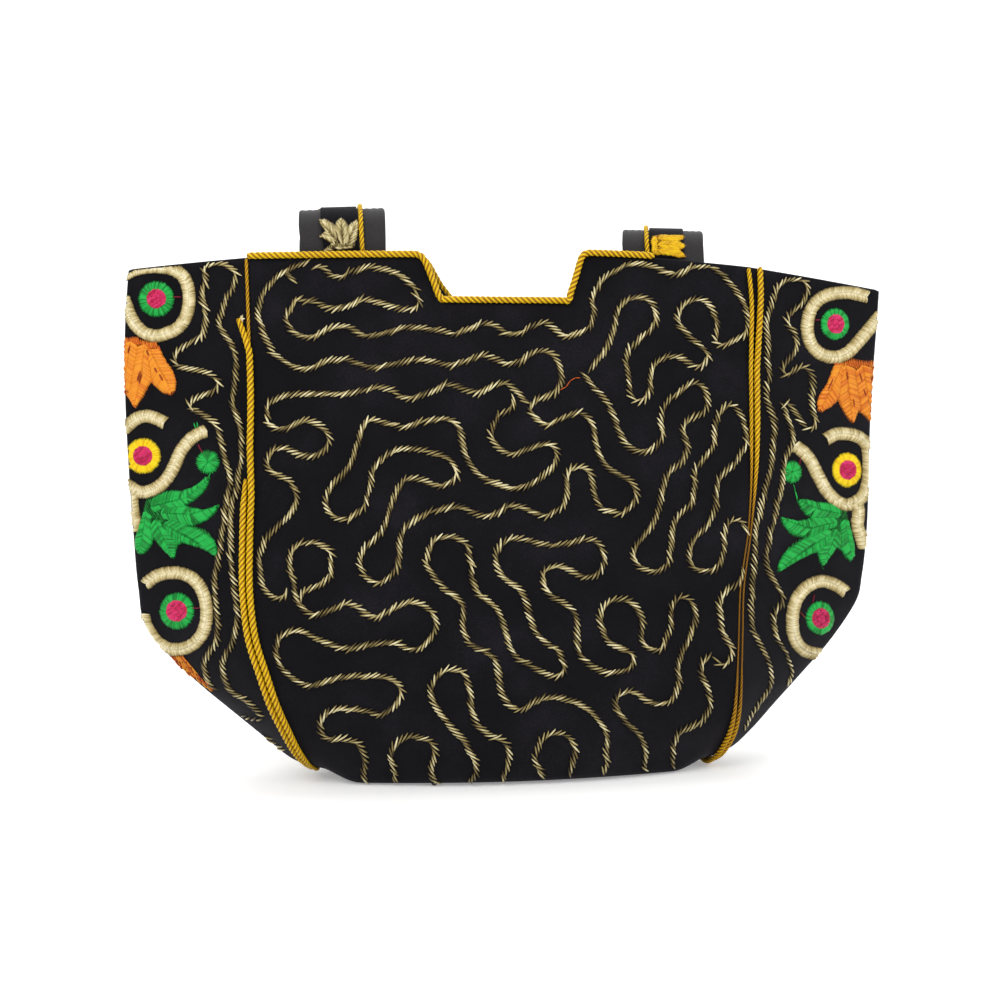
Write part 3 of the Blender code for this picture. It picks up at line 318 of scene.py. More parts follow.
def plain_edge(x):
    """Height of the uncut top edge at a place across the panel."""
    reach, side_z = (-LEFT_X, LEVELS[0][0][2]) if x < 0 else (RIGHT_X, LEVELS[0][1][2])
    rise = RIGHT_RISE * ease(x / RISE_OVER) * (1.0 - ease((x - FALL_FROM) / FALL_OVER))
    return EDGE_Z + (side_z - EDGE_Z) * min(1.0, abs(x) / reach) ** 2 + rise


def top_edge(x, notch, shift):
    """Height of the top edge with its notch; x is where the edge is, shift how far that panel has moved."""
    if notch[0][0] < x < notch[-1][0]:
        places = [p for p, _ in notch]
        heights = [plain_edge(p - shift) if z is None else z for p, z in notch]
        return float(np.interp(x, places, heights))
    return plain_edge(x - shift)


print("notch", round(NOTCH_TOP * 2, 1), "mm wide and", round(plain_edge(0.0) - NOTCH_FLOOR, 1), "mm deep")

# %% The body sheet
COLUMN_STEP, ROW_STEP, WARP_ROWS = 2.4, 2.3, 3  # the rows that bend to the notch lie above this level
CORNER_CLEAR, EDGE_PROBES = 0.9, 120


def row_keys(columns):
    """Running length down the sheet, level by level, averaged over the columns."""
    runs = []
    for share in columns:
        line = np.array([body_level(row, share) for row in range(2 * TIP + 1)])
        runs.append(np.concatenate([[0], np.cumsum(np.linalg.norm(np.diff(line, axis=0), axis=1))]))
    return np.mean(runs, axis=0)


ROW_KEYS = row_keys((0.0, 0.25, 0.5, 0.75, 1.0))
places = list(np.arange(LEFT_X, RIGHT_X, COLUMN_STEP)) + [RIGHT_X]
corners = [x for x, _ in FRONT_NOTCH] + [x - BACK_SHIFT for x, _ in BACK_NOTCH]
places = [x for x in places if min(abs(x - c) for c in corners) > CORNER_CLEAR or x in (LEFT_X, RIGHT_X)]
places = sorted(places + corners)
SHARES = (np.array(places) - LEFT_X) / (RIGHT_X - LEFT_X)
warp_end = float(ROW_KEYS[WARP_ROWS])
whole = float(ROW_KEYS[-1])
front_rows = int(round(warp_end / ROW_STEP))
plain_rows = 2 * int(round((whole - 2 * warp_end) / ROW_STEP / 2)) + 1
middle = np.linspace(warp_end, whole - warp_end, plain_rows)
probe = np.linspace(0, warp_end, EDGE_PROBES)
body_grid = []
for x, share in zip(places, SHARES):
    line = [body_level(row, share) for row in range(2 * TIP + 1)]
    heights = through(ROW_KEYS, line, probe)[:, 2]
    front_start = float(np.interp(-top_edge(x, FRONT_NOTCH, 0.0), -heights, probe))
    heights = through(ROW_KEYS, line, whole - probe)[:, 2]
    back_start = float(np.interp(-top_edge(x + BACK_SHIFT, BACK_NOTCH, BACK_SHIFT), -heights, probe))
    down_front = np.linspace(front_start, warp_end, front_rows)[:-1]
    up_back = (whole - np.linspace(back_start, warp_end, front_rows))[::-1][1:]
    body_grid.append(through(ROW_KEYS, line, np.concatenate([down_front, middle, up_back])))
body_grid = np.array(body_grid).transpose(1, 0, 2)
print("body sheet", body_grid.shape)

# %% Waves in the cloth
WAVE_LONG, WAVE_LONG_DEEP, WAVE_SHORT, WAVE_SHORT_DEEP = 75.0, 0.9, 24.0, 0.35
WAVES_IN_FULL = 40.0  # the height above which the waves are at their full depth
BODY_LONG_AT, BODY_SHORT_AT, PANEL_AT = Vector((7.1, 3.3, 1.9)), Vector((1.7, 9.2, 4.4)), Vector((2.1, 5.3, 8.9))


def grid_normals(grid):
    """The direction square to the cloth at each point of a grid."""
    across = np.gradient(grid, axis=1)
    down = np.gradient(grid, axis=0)
    n = np.cross(down, across)
    return n / np.maximum(np.linalg.norm(n, axis=2, keepdims=True), 1e-9)


def waved(grid):
    """The grid with slow waves pressed into it, none near the base it stands on."""
    n = grid_normals(grid)
    out = grid.copy()
    for i in range(grid.shape[0]):
        for j in range(grid.shape[1]):
            p = grid[i, j]
            deep = WAVE_LONG_DEEP * noise.noise(Vector(p / WAVE_LONG) + BODY_LONG_AT)
            deep += WAVE_SHORT_DEEP * noise.noise(Vector(p / WAVE_SHORT) + BODY_SHORT_AT)
            out[i, j] = p + n[i, j] * deep * ease(p[2] / WAVES_IN_FULL)
    return out


plain_grid = body_grid
body_grid = waved(plain_grid)
body_grid[..., 2] = np.maximum(body_grid[..., 2], 0.0)
print("deepest wave", round(float(np.abs(body_grid - plain_grid).max()), 2), "mm")

# %% [markdown]
# Each side panel is a tongue that tapers to a tip under the bag. It shares its edges with the body sheet,
# and folds outwards along a soft crease. Its two halves are straight between seam and crease, as cloth under
# a little tension is, with the crease rounded to the thickness of the velvet.

# %% The side panels
PANEL_HALF, PANEL_STEP, CREASE_SOFT = 70.0, 2.2, 0.05
PANEL_BOW, BOW_IN_FULL = 1.2, 60.0


def panel_grid(edge, crease_at, sign):
    """Rows down the panel, columns from the front seam round the crease to the back seam."""
    rows = body_grid.shape[0]
    seam = body_grid[:, edge]
    half = rows // 2
    front, back = seam[:half + 1], seam[::-1][:half + 1]
    keys = ROW_KEYS[:TIP + 1]
    crease = [(sign * LEVELS[i][crease_at][0], 0.0, LEVELS[i][crease_at][1]) for i in range(TIP + 1)]
    run = np.concatenate([[0], np.cumsum(np.linalg.norm(np.diff(front, axis=0), axis=1))])
    run *= keys[-1] / run[-1]
    crease = through(keys, crease, run)
    pull = CREASE_SOFT / 2 / math.sqrt(1 + CREASE_SOFT ** 2)
    fold = (crease - (front + back) * pull) / (1 - 2 * pull)  # so that the rounded crease still reaches its place
    scale = math.sqrt(1 + CREASE_SOFT ** 2)
    grid = []
    for s in np.linspace(-1, 1, 2 * int(round(PANEL_HALF / PANEL_STEP)) + 1):
        soft = math.sqrt(s * s + CREASE_SOFT ** 2)
        to_front, to_back = max(0.0, (soft - s) / 2 / scale), max(0.0, (soft + s) / 2 / scale)
        if s <= -1:
            to_front, to_back = 1.0, 0.0
        if s >= 1:
            to_front, to_back = 0.0, 1.0
        grid.append(fold + (front - fold) * to_front + (back - fold) * to_back)
    return np.array(grid).transpose(1, 0, 2)


def bowed(grid, sign):
    """The panel's halves pushed out a little between seam and crease, and the cloth's waves."""
    n = grid_normals(grid) * sign
    out = grid.copy()
    columns = np.linspace(-1, 1, grid.shape[1])
    for j, s in enumerate(columns):
        bow = math.sin(math.pi * abs(s))
        for i in range(grid.shape[0]):
            p = grid[i, j]
            lift = bow * PANEL_BOW * ease(p[2] / BOW_IN_FULL)
            wave = WAVE_LONG_DEEP * noise.noise(Vector(p / WAVE_LONG) + PANEL_AT)
            out[i, j] = p + n[i, j] * (lift + wave * bow * ease(p[2] / WAVES_IN_FULL))
    return out


left_grid = bowed(panel_grid(0, 2, -1.0), -1.0)
right_grid = bowed(panel_grid(-1, 3, 1.0), 1.0)
print("side panels", left_grid.shape, right_grid.shape)

# %% [markdown]
# Every stitch has to know where it lies. All outer cloth is put in one search tree, and a ray from the camera
# through a picture pixel gives the triangle it meets. The same place on the other side of a panel's crease is
# kept for each point too, because the motifs run round the crease and the back half mirrors the front one.

# %% Finding places on the cloth
SHEETS = {"body": (body_grid, 1.0), "left": (left_grid, -1.0), "right": (right_grid, 1.0)}
RAY_LENGTH = 5000.0
cloth_points, cloth_normals, cloth_tris, cloth_mirror, cloth_sheet = [], [], [], [], []
for sheet_name, (grid, sign) in SHEETS.items():
    rows, columns = grid.shape[:2]
    normals = grid_normals(grid) * sign
    ids = len(cloth_points) + np.arange(rows * columns).reshape(rows, columns)
    cloth_points += grid.reshape(-1, 3).tolist()
    cloth_normals += normals.reshape(-1, 3).tolist()
    cloth_mirror += (ids[:, ::-1] if sheet_name != "body" else ids).reshape(-1).tolist()
    a, b, c, d = ids[:-1, :-1].ravel(), ids[1:, :-1].ravel(), ids[1:, 1:].ravel(), ids[:-1, 1:].ravel()
    tris = np.vstack([np.stack([a, b, c], 1), np.stack([a, c, d], 1)])
    cloth_tris += (tris if sign > 0 else tris[:, ::-1]).tolist()
    cloth_sheet += [sheet_name] * len(tris)
cloth_points, cloth_normals = np.array(cloth_points), np.array(cloth_normals)
cloth_mirror, cloth_tris = np.array(cloth_mirror), np.array(cloth_tris)
cloth_tree = BVHTree.FromPolygons(cloth_points.tolist(), cloth_tris.tolist())


def weights_in(tri, p):
    """How much each corner of a triangle counts at a place in it."""
    a, b, c = cloth_points[tri]
    m = np.array([b - a, c - a]).T
    uv, *_ = np.linalg.lstsq(m, p - a, rcond=None)
    return np.array([1 - uv.sum(), uv[0], uv[1]])


def seen(px, py):
    """Where a picture pixel falls on the cloth: the triangle's corners, their shares and the sheet's name."""
    ray = FORWARD + CAMERA_RIGHT * (px - CENTRE_PX) / FOCAL_PX - CAMERA_UP * (py - CENTRE_PX) / FOCAL_PX
    hit, _, index, _ = cloth_tree.ray_cast(Vector(CAMERA_AT), Vector(ray), RAY_LENGTH)
    if hit is None:
        return None
    tri = cloth_tris[index]
    return tri, weights_in(tri, np.array(hit)), cloth_sheet[index]


def place_of(found, mirrored=False):
    """The point and the outward direction of a place found, or of its twin across the crease."""
    tri, share, _ = found
    if mirrored:
        tri = cloth_mirror[tri]
    return share @ cloth_points[tri], unit(share @ cloth_normals[tri])


print(len(cloth_tris), "triangles of cloth to search")

# %% [markdown]
# Velvet with its backing is 2.2 mm thick here, so each sheet gets an inner surface and a rounded rim along its
# open top edge. Where two sheets meet at a seam, both step inwards along the same mitre, so no gap opens and
# neither cuts the other. The inner surface can't pass the fold's middle plane, so it is stopped there.

# %% Layers of the cloth
VELVET, FOLD_CLEAR, LOWEST = 2.2, 0.05, 1.5


def seam_mitre(body_side, panel_side):
    """The step that moves both faces at a seam inwards by one millimetre."""
    both = body_side + panel_side
    return both / (1.0 + np.sum(body_side * panel_side, axis=1, keepdims=True))


body_normals = grid_normals(body_grid)
left_normals, right_normals = -grid_normals(left_grid), grid_normals(right_grid)
ROWS, HALF = body_grid.shape[0], body_grid.shape[0] // 2
body_steps, left_steps, right_steps = body_normals.copy(), left_normals.copy(), right_normals.copy()
for steps, normals, edge in ((left_steps, left_normals, 0), (right_steps, right_normals, -1)):
    front = seam_mitre(body_normals[:HALF, edge], normals[:HALF, 0])
    back = seam_mitre(body_normals[::-1][:HALF, edge], normals[:HALF, -1])
    body_steps[:HALF, edge] = steps[:HALF, 0] = front
    body_steps[::-1][:HALF, edge] = steps[:HALF, -1] = back


def stopped_at_fold(layer, clear):
    """A panel's inner layer, whose front half stays in front of the fold and whose back half behind it."""
    out = layer.copy()
    rows, columns = layer.shape[:2]
    mid = columns // 2
    for i in range(rows):
        for walk, sign in ((range(mid + 1), -1.0), (range(columns - 1, mid, -1), 1.0)):
            stop = before = None
            for j in walk:
                p = layer[i, j]
                if stop is None and p[1] * sign < clear:
                    if before is None:
                        stop = np.array([p[0], sign * clear, p[2]])
                    else:
                        t = (before[1] - sign * clear) / (before[1] - p[1])
                        stop = before + (p - before) * min(1.0, max(0.0, t))
                if stop is not None:
                    out[i, j] = stop
                before = p
    return out


def inset(depth, clear):
    """The three sheets' layers at a depth below the outer surface, kept above the floor."""
    layers = [
        body_grid - body_steps * depth, stopped_at_fold(left_grid - left_steps * depth, clear),
        stopped_at_fold(right_grid - right_steps * depth, clear)]
    for layer in layers:
        layer[..., 2] = np.maximum(layer[..., 2], min(depth, LOWEST) * 0.5)
    return layers


body_in, left_in, right_in = inset(VELVET, FOLD_CLEAR)
print("velvet", VELVET, "mm thick,", ROWS, "rows down the body")

# %% Sheets with thickness
RIM_RISE = 0.8  # how far the rounded rim stands over the cloth's edge
RIM_SECTION = ((0.22, 0.65), (0.5, 1.0), (0.78, 0.65))  # the rim's lines: how far through the cloth, and how high
MERGE_WITHIN, COLLAPSE_WITHIN = 2e-6, 1e-6


def closed_sheet(name, outer, inner, turned, ends, rise=RIM_RISE):
    """A closed body between two grids; ends says which of the first and last rows get a raised rim."""
    rows, columns = outer.shape[:2]
    points = [outer.reshape(-1, 3), inner.reshape(-1, 3)]
    o = np.arange(rows * columns).reshape(rows, columns)
    i = o + rows * columns
    faces = []
    count = 2 * rows * columns
    for a, b in ((o, 1), (i, -1)):
        quads = np.stack([a[:-1, :-1], a[1:, :-1], a[1:, 1:], a[:-1, 1:]], -1).reshape(-1, 4)
        faces += (quads[:, ::b] if not turned else quads[:, ::-b]).tolist()
    rims = []
    for row, beyond, raised in ((0, 1, ends[0]), (rows - 1, rows - 2, ends[1])):
        loop_out, loop_in = o[row], i[row]
        lines = [loop_out]
        if raised:
            middle = (outer[row] + inner[row]) / 2
            up = outer[row] - outer[beyond]
            up = up / np.maximum(np.linalg.norm(up, axis=1, keepdims=True), 1e-9)
            for share, height in RIM_SECTION:
                points.append(outer[row] * (1 - share) + inner[row] * share + up * height * rise)
                lines.append(np.arange(count, count + columns))
                count += columns
        lines.append(loop_in)
        for a, b in zip(lines, lines[1:]):
            rims.append((a, b, row == 0))
    for column, first in ((0, False), (columns - 1, True)):
        rims.append((o[:, column], i[:, column], first))
    for a, b, way in rims:
        quads = np.stack([a[:-1], a[1:], b[1:], b[:-1]], -1)
        if way == turned:
            quads = quads[:, ::-1]
        faces += quads.tolist()
    return tidied(write_mesh(name, np.vstack(points), faces))


def tidied(made):
    """Doubles merged and faces turned outwards."""
    work = bmesh.new()
    work.from_mesh(made.data)
    bmesh.ops.remove_doubles(work, verts=work.verts, dist=MERGE_WITHIN)
    bmesh.ops.dissolve_degenerate(work, edges=work.edges, dist=COLLAPSE_WITHIN)
    bmesh.ops.recalc_face_normals(work, faces=work.faces)
    for face in work.faces:
        face.smooth = True
    work.to_mesh(made.data)
    work.free()
    return made


body = closed_sheet("velvet_body", body_grid, body_in, False, (True, True))
left = closed_sheet("velvet_left_side", left_grid, left_in, True, (True, False))
right = closed_sheet("velvet_right_side", right_grid, right_in, False, (True, False))
for piece, node in ((body, "body_panel"), (left, "left_side_panel"), (right, "right_side_panel")):
    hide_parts(node)
    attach(piece, "root")
    print(piece.name, len(piece.data.polygons), "faces")

# %% [markdown]
# The lining is one bag inside the bag: a ring of cloth at every height, closed at the base.
# It stops 2 mm below the velvet's edge, as a turned and hand-sewn lining does.

# %% Lining
GAP, LINING, LINING_DROP, LINING_RIM = 0.3, 0.8, 1.9, 0.3
OUTER_FOLD_CLEAR, INNER_FOLD_CLEAR = 0.9, 1.6


def ring_grid(depth, clear):
    """One ring of points round the bag for each row, at a depth below the velvet's face."""
    front_and_back, to_left, to_right = inset(depth, clear)
    rings = []
    for i in range(HALF + 1):
        front, back = front_and_back[i], front_and_back[ROWS - 1 - i][::-1]
        rings.append(np.vstack([front, to_right[i][1:-1], back, to_left[i][::-1][1:-1], front[:1]]))
    grid = np.array(rings)
    down = grid[1] - grid[0]
    grid[0] = grid[0] + down / np.maximum(np.linalg.norm(down, axis=1, keepdims=True), 1e-9) * LINING_DROP
    return grid


lining = closed_sheet(
    "cotton_lining", ring_grid(VELVET + GAP, OUTER_FOLD_CLEAR), ring_grid(VELVET + GAP + LINING, INNER_FOLD_CLEAR),
    False, (True, False), LINING_RIM)
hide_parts("lining")
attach(lining, "root")
print(lining.name, len(lining.data.polygons), "faces")

# %% [markdown]
# The yellow cords are three-ply twisted rayon. Each is a tube whose section is three round plies side by side,
# turned steadily along its length, which gives the slanted lines of a real twist. The grooves between the
# plies are written to the mesh as an attribute, because the cord's colour gets painted shade there, a golden brown.

# %% Twisted cord
PLY_TURN, PLIES, PLY_SHARE, PLY_OFFSET = 8.5, 3, 0.60, 0.46
CORD_RING, CORD_SIDES, END_GIRTH, END_RINGS, FINE_STEP = 0.75, 18, 0.35, 2.5, 0.4


def smooth_line(points, step):
    """A smooth line through the points, in steps of nearly equal length."""
    p = np.asarray(points, float)
    run = np.concatenate([[0], np.cumsum(np.linalg.norm(np.diff(p[:, :3], axis=0), axis=1))])
    fine = through(run, p, np.linspace(0, run[-1], max(3, int(run[-1] / FINE_STEP))))
    run = np.concatenate([[0], np.cumsum(np.linalg.norm(np.diff(fine[:, :3], axis=0), axis=1))])
    at = np.linspace(0, run[-1], max(2, int(round(run[-1] / step)) + 1))
    return np.stack([np.interp(at, run, fine[:, k]) for k in range(p.shape[1])], axis=1)


def turned_outwards(made):
    """Every face of the piece turned outwards, and its many-sided ends cut into triangles."""
    work = bmesh.new()
    work.from_mesh(made.data)
    bmesh.ops.triangulate(work, faces=[f for f in work.faces if len(f.verts) > 6])
    bmesh.ops.recalc_face_normals(work, faces=work.faces)
    work.to_mesh(made.data)
    work.free()


def ply_reach(angle):
    """How far a cord's outline stands from its middle, as a share of its radius."""
    reach = 0.0
    for ply in range(PLIES):
        off = angle - 2 * math.pi * ply / PLIES
        inner = PLY_SHARE ** 2 - (PLY_OFFSET * math.sin(off)) ** 2
        if inner > 0:
            reach = max(reach, PLY_OFFSET * math.cos(off) + math.sqrt(inner))
    return reach / (PLY_OFFSET + PLY_SHARE)


SECTION = [(a, ply_reach(a)) for a in np.linspace(0, 2 * math.pi, CORD_SIDES, endpoint=False)]


def twisted_cord(name, path, radii, node, soil=None):
    """A closed three-ply cord along a path of points, with a radius and an amount of painted shade at each."""
    soil = np.zeros(len(path)) if soil is None else soil
    line = smooth_line(np.hstack([path, np.asarray(radii)[:, None], np.asarray(soil)[:, None]]), CORD_RING)
    centre, radius = line[:, :3], line[:, 3]
    print(name, round(float(np.linalg.norm(np.diff(centre, axis=0), axis=1).sum())), "mm long")
    along = np.gradient(centre, axis=0)
    along /= np.linalg.norm(along, axis=1, keepdims=True)
    side = unit(np.cross(along[0], (0.3, 1.0, 0.2)))
    points, depth = [], []
    for i in range(len(centre)):
        side = unit(side - along[i] * (side @ along[i]))
        other = np.cross(along[i], side)
        full = min(1.0, END_GIRTH + min(i, len(centre) - 1 - i) / END_RINGS)
        r = radius[i] * (END_GIRTH + (1.0 - END_GIRTH) * full)
        turn = 2 * math.pi * i * CORD_RING / PLY_TURN
        for a, reach in SECTION:
            points.append(centre[i] + r * reach * (math.cos(a + turn) * side + math.sin(a + turn) * other))
            depth.append(reach)
    n = CORD_SIDES
    rings = len(centre)
    faces = []
    for i in range(rings - 1):
        for k in range(n):
            faces.append((i * n + k, i * n + (k + 1) % n, (i + 1) * n + (k + 1) % n, (i + 1) * n + k))
    points += [centre[0], centre[-1]]
    depth += [1.0, 1.0]
    last = (rings - 1) * n
    for k in range(n):
        faces += [((k + 1) % n, k, rings * n), (last + k, last + (k + 1) % n, rings * n + 1)]
    made = write_mesh(name, points, faces)
    painted_cord_shade_points = np.concatenate([np.repeat(line[:, 4], n), [line[0, 4], line[-1, 4]]])
    for key, values in (("groove", depth), ("soil", painted_cord_shade_points)):
        made.data.attributes.new(key, "FLOAT", "POINT").data.foreach_set("value", np.array(values, np.float32))
    turned_outwards(made)
    if node:
        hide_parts(node)
    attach(made, "root")
    return made


# %% [markdown]
# Each seam cord is laid along the seam that both sheets share. Its place across the seam, its thickness, how
# deep it sinks in and how much painted shade browns it change with the height, as the photograph shows. Where it
# would cut into the cloth it is pushed out until it lies on it.

# %% Seam cords
PUSHES, ON_CLOTH, CORD_STEP = 6, 0.15, 2.5


def lifted(places, room):
    """The places, each pushed outwards until the cloth is no nearer than its room."""
    out = []
    for at, need in zip(places, room):
        for _ in range(PUSHES):
            near, _, index, distance = cloth_tree.find_nearest(Vector(at))
            tri = cloth_tris[index]
            a, b, c = cloth_points[tri]
            flat = unit(np.cross(b - a, c - a))
            within = (at - np.array(near)) @ flat < 0
            if not within and distance >= need:
                break
            push = unit(weights_in(tri, np.array(near)) @ cloth_normals[tri])
            at = at + push * (need + distance if within else need - distance)
        out.append(at)
    return np.array(out)


def seam_cord(name, edge, knots, node, below=None, above=None):
    """A cord along a seam. Knots give height, sideways place, radius, sinking into the seam and painted shade."""
    line = body_grid[:, edge]
    inside = body_grid[:, 1 if edge == 0 else -2] - line
    along = np.gradient(line, axis=0)
    heights = [knot[0] for knot in knots]
    offset, radii, sunk, soil = (
        np.interp(line[:, 2], heights, [knot[n] if n < len(knot) else 0.0 for knot in knots]) for n in range(1, 5))
    places = []
    for at, step, t, into, o, r, deep in zip(line, body_steps[:, edge], along, inside, offset, radii, sunk):
        normal = unit(step)
        across = unit(np.cross(t, normal))
        if across @ into > 0:
            across = -across
        places.append(at + normal * (r + ON_CLOTH - deep) + across * o)
    fine = smooth_line(np.hstack([places, radii[:, None], sunk[:, None], soil[:, None]]), CORD_STEP)
    if below is not None:
        fine = fine[fine[:, 2] < below]
    if above is not None:
        fine = fine[(fine[:, 2] > above) & (fine[:, 1] < 0)]
    room = fine[:, 3] + 0.1 - fine[:, 4]
    return twisted_cord(name, lifted(fine[:, :3], room), fine[:, 3], node, fine[:, 5])


LEFT_THICK_START, LEFT_THIN_END, LEFT_SECOND_START = 239.0, 221.0, 160.0
LEFT_SEAM, RIGHT_SEAM = 0, -1
# A knot's fifth value is painted shade in the cord's colour, highest where the cord sinks deep into its seam.
seam_cord("left_seam_cord", LEFT_SEAM, [
    (0, -1.5, 0.9, 0.4), (8, -1.6, 1.0, 0.3), (20, -1.8, 1.5), (45, -1.9, 1.75), (150, -1.9, 1.75),
    (175, -0.3, 1.75), (222, 0.0, 1.75), (230, 2.2, 1.6), (240, 5.6, 1.3)], "left_seam_cord_inner", LEFT_THICK_START)
seam_cord("left_seam_thin_cord", LEFT_SEAM, [
    (215, 0.3, 0.85, 0.2, 0.35), (270, 0.3, 0.85, 0.3, 0.4)], None, None, LEFT_THIN_END)
seam_cord("left_seam_second_cord", LEFT_SEAM, [
    (0, 1.4, 0.9, 0.4), (8, 1.5, 1.0, 0.3), (20, 1.7, 1.5), (45, 1.9, 1.75), (146, 1.9, 1.7),
    (161, 1.6, 0.9)], "left_seam_cord_outer", LEFT_SECOND_START)
seam_cord("right_seam_cord", RIGHT_SEAM, [
    (0, 1.8, 1.5, 0, 0.2), (22, 1.8, 1.5, 0, 0.3), (42, 1.4, 0.8, 0.3, 0.8), (60, 1.0, 0.45, 0.45, 1.0),
    (130, 0.2, 0.45, 0.45, 1.0), (142, 0.0, 0.6, 0.3, 0.6), (156, -0.3, 0.95, 0.1, 0.3), (187, -0.6, 1.6),
    (215, -0.8, 1.7), (245, 1.2, 1.7), (268, 4.0, 1.6)], "right_seam_cord_outer")
seam_cord("right_seam_second_cord", RIGHT_SEAM, [
    (0, -1.8, 1.5, 0, 0.2), (22, -1.8, 1.5, 0, 0.3), (42, -1.9, 0.8, 0.3, 0.8), (60, -1.6, 0.4, 0.45, 1.0),
    (130, -1.4, 0.4, 0.45, 1.0), (150, -2.2, 0.5, 0.3, 0.6), (175, -3.7, 0.9, 0, 0.3), (215, -4.1, 1.2),
    (250, -3.2, 1.2), (268, -2.4, 1.2)], "right_seam_cord_inner")

# %% [markdown]
# A cord is also whipped along the top edge, over the notch. It follows the velvet's own edge, so it is laid
# from the sheet's first row of points rather than drawn again.

# %% Top edge cords
TOP_CORD, EDGE_UP, EDGE_OUT = 1.8, 1.5, 1.3
TOP_CORD_START, TOP_CORD_END = -131.5, 80.0


def top_cord(name, row, x_from, x_to, node):
    """A cord along the body sheet's first or last row, between two places across the bag."""
    line = body_grid[row]
    keep = (line[:, 0] > x_from) & (line[:, 0] < x_to)
    outward = body_normals[row]
    along = np.gradient(line, axis=0)
    places = []
    for at, n, t in zip(line[keep], outward[keep], along[keep]):
        square = unit(np.cross(t, n))
        if square[2] < 0:
            square = -square
        places.append(at + square * EDGE_UP + unit((n[0], n[1], 0.0)) * EDGE_OUT)
    places = np.array(places)
    rounded = places.copy()
    rounded[1:-1] = (places[:-2] + 2 * places[1:-1] + places[2:]) / 4  # a cord rounds the notch's corners
    return twisted_cord(name, rounded, np.full(len(rounded), TOP_CORD), node)


top_cord("front_edge_cord", 0, TOP_CORD_START, TOP_CORD_END, "front_top_cord")
top_cord("back_edge_cord", ROWS - 1, TOP_CORD_START + BACK_SHIFT, TOP_CORD_END + 2 * BACK_SHIFT, "back_top_cord")

# %% [markdown]
# Each handle is a strip of ribbed webbing that leaves the top edge, bends over backwards and hangs behind the
# bag, twisting half way so that its edge shows. A velvet ribbon and a thin yellow cord run along it.

# %% Handle paths
STRAP_WIDTH, STRAP_THICK, HANDLE_HALF, HANDLE_MIDDLE = 44.0, 2.2, 84.0, 1.0
LOOP_TOP, LOOP_DROP, LOOP_Y, LOOP_SWING, LOOP_MIDDLE, NEST = 256.0, 60.0, 36.0, 25.0, 4.0, 9.0
TOP_LEFT, TOP_RIGHT, STATION_STEP, LOOP_STATIONS = 295.0, 287.4, 1.3, 150
RIGHT_LEAN, LEFT_LEAN, TOP_TILT, PINCH = 13.0, 3.0, 0.05, 0.07


def front_arch(top):
    """A front leg's line from inside the bag over its top to the loop, as depth and height."""
    low = top - 13.0
    return [
        (-16.6, 240.0), (-14.8, 255.0), (-12.8, 269.0), (-11.6, low - 1), (-9.4, low + 6.5), (-4.2, top - 2.2),
        (3.5, top), (16.0, top), (29.0, top), (36.0, top - 2.2), (41.2, low + 6.5), (43.4, low - 1),
        (LOOP_Y + NEST, 262.0), (LOOP_Y + NEST, LOOP_TOP + 0.5)]


BACK_ARCH = [
    (16.1, 240.0), (14.4, 255.0), (12.8, 266.5), (13.4, 273.5), (16.5, 278.6), (21.5, 281.2), (27.5, 281.2),
    (32.5, 278.4), (35.4, 272.8), (LOOP_Y, 266.0), (LOOP_Y, LOOP_TOP + 0.5)]


def handle_path(front):
    """Stations along a handle: centre, width direction and outer face direction."""

    def leg(side, arch):
        line = smooth_line([(0.0, y, z) for y, z in arch], STATION_STEP)
        width = np.array([-side, 0.0, 0.0])
        return [(np.array([HANDLE_MIDDLE + side * HANDLE_HALF, p[1], p[2]]), width, unit(np.cross(width, d)))
            for p, d in zip(line, np.gradient(line, axis=0))]

    stations = leg(-1.0, front_arch(TOP_LEFT) if front else BACK_ARCH)
    for a in np.linspace(0, math.pi, LOOP_STATIONS)[1:-1]:
        low, far = math.sin(a), math.cos(a)
        centre = HANDLE_MIDDLE + (LOOP_MIDDLE - HANDLE_MIDDLE) * low ** 2
        place = np.array([centre - HANDLE_HALF * far, LOOP_Y + LOOP_SWING * low, LOOP_TOP - LOOP_DROP * low])
        direction = unit((HANDLE_HALF * low, LOOP_SWING * far, -LOOP_DROP * far))
        flat = unit((-direction[2], 0.0, direction[0]))
        twist = math.radians(90.0) * low ** 2
        width = math.cos(twist) * flat + math.sin(twist) * np.cross(flat, direction)
        face = unit(np.cross(width, direction))
        stations.append((place + face * (NEST if front else 0.0), width, face))
    last_leg = leg(1.0, front_arch(TOP_RIGHT) if front else BACK_ARCH)[::-1]
    stations += [(place, width, -face) for place, width, face in last_leg]
    skewed = []
    for place, width, face in stations:  # the bag's back has slumped to the right and takes the right legs with it
        behind = min(1.0, max(0.0, (place[1] + 10.0) / 50.0))
        lean = RIGHT_LEAN * behind * ease((place[0] + 20.0) / 90.0)
        lean += LEFT_LEAN * behind * ease((-20.0 - place[0]) / 50.0)
        if front and place[0] < -40.0:  # the left leg is tilted over its arch and pinched where it is sewn in
            over = ease((place[2] - 262.0) / 26.0)
            pinch = PINCH * (1.0 - over) if place[1] < 0 else 0.0
            width = width * (1.0 - pinch) + np.array([0.0, 0.0, TOP_TILT * over])
            place = place + np.array([pinch * STRAP_WIDTH / 2, 0.0, 0.0])
        skewed.append((place + np.array([lean, 0.0, 0.0]), width, face))
    return skewed


def lengths(stations):
    """The running length at each station."""
    steps = [np.linalg.norm(b[0] - a[0]) for a, b in zip(stations, stations[1:])]
    return np.concatenate([[0], np.cumsum(steps)])


print("a front leg's arch has", len(front_arch(TOP_LEFT)), "points, a back leg's", len(BACK_ARCH))

# %% Webbing, ribbon and handle cord
RIBS, RIB_DEEP, EDGE_ROUND = 25, 0.25, 0.35
RIBBON_FROM, RIBBON_TO, RIBBON_THICK, RIBBON_LINES, RIBBON_START, RIBBON_BEHIND = -11.0, 7.5, 0.8, 7, 272.0, 21.0
HANDLE_CORD, HANDLE_CORD_AT = 1.2, 9.3


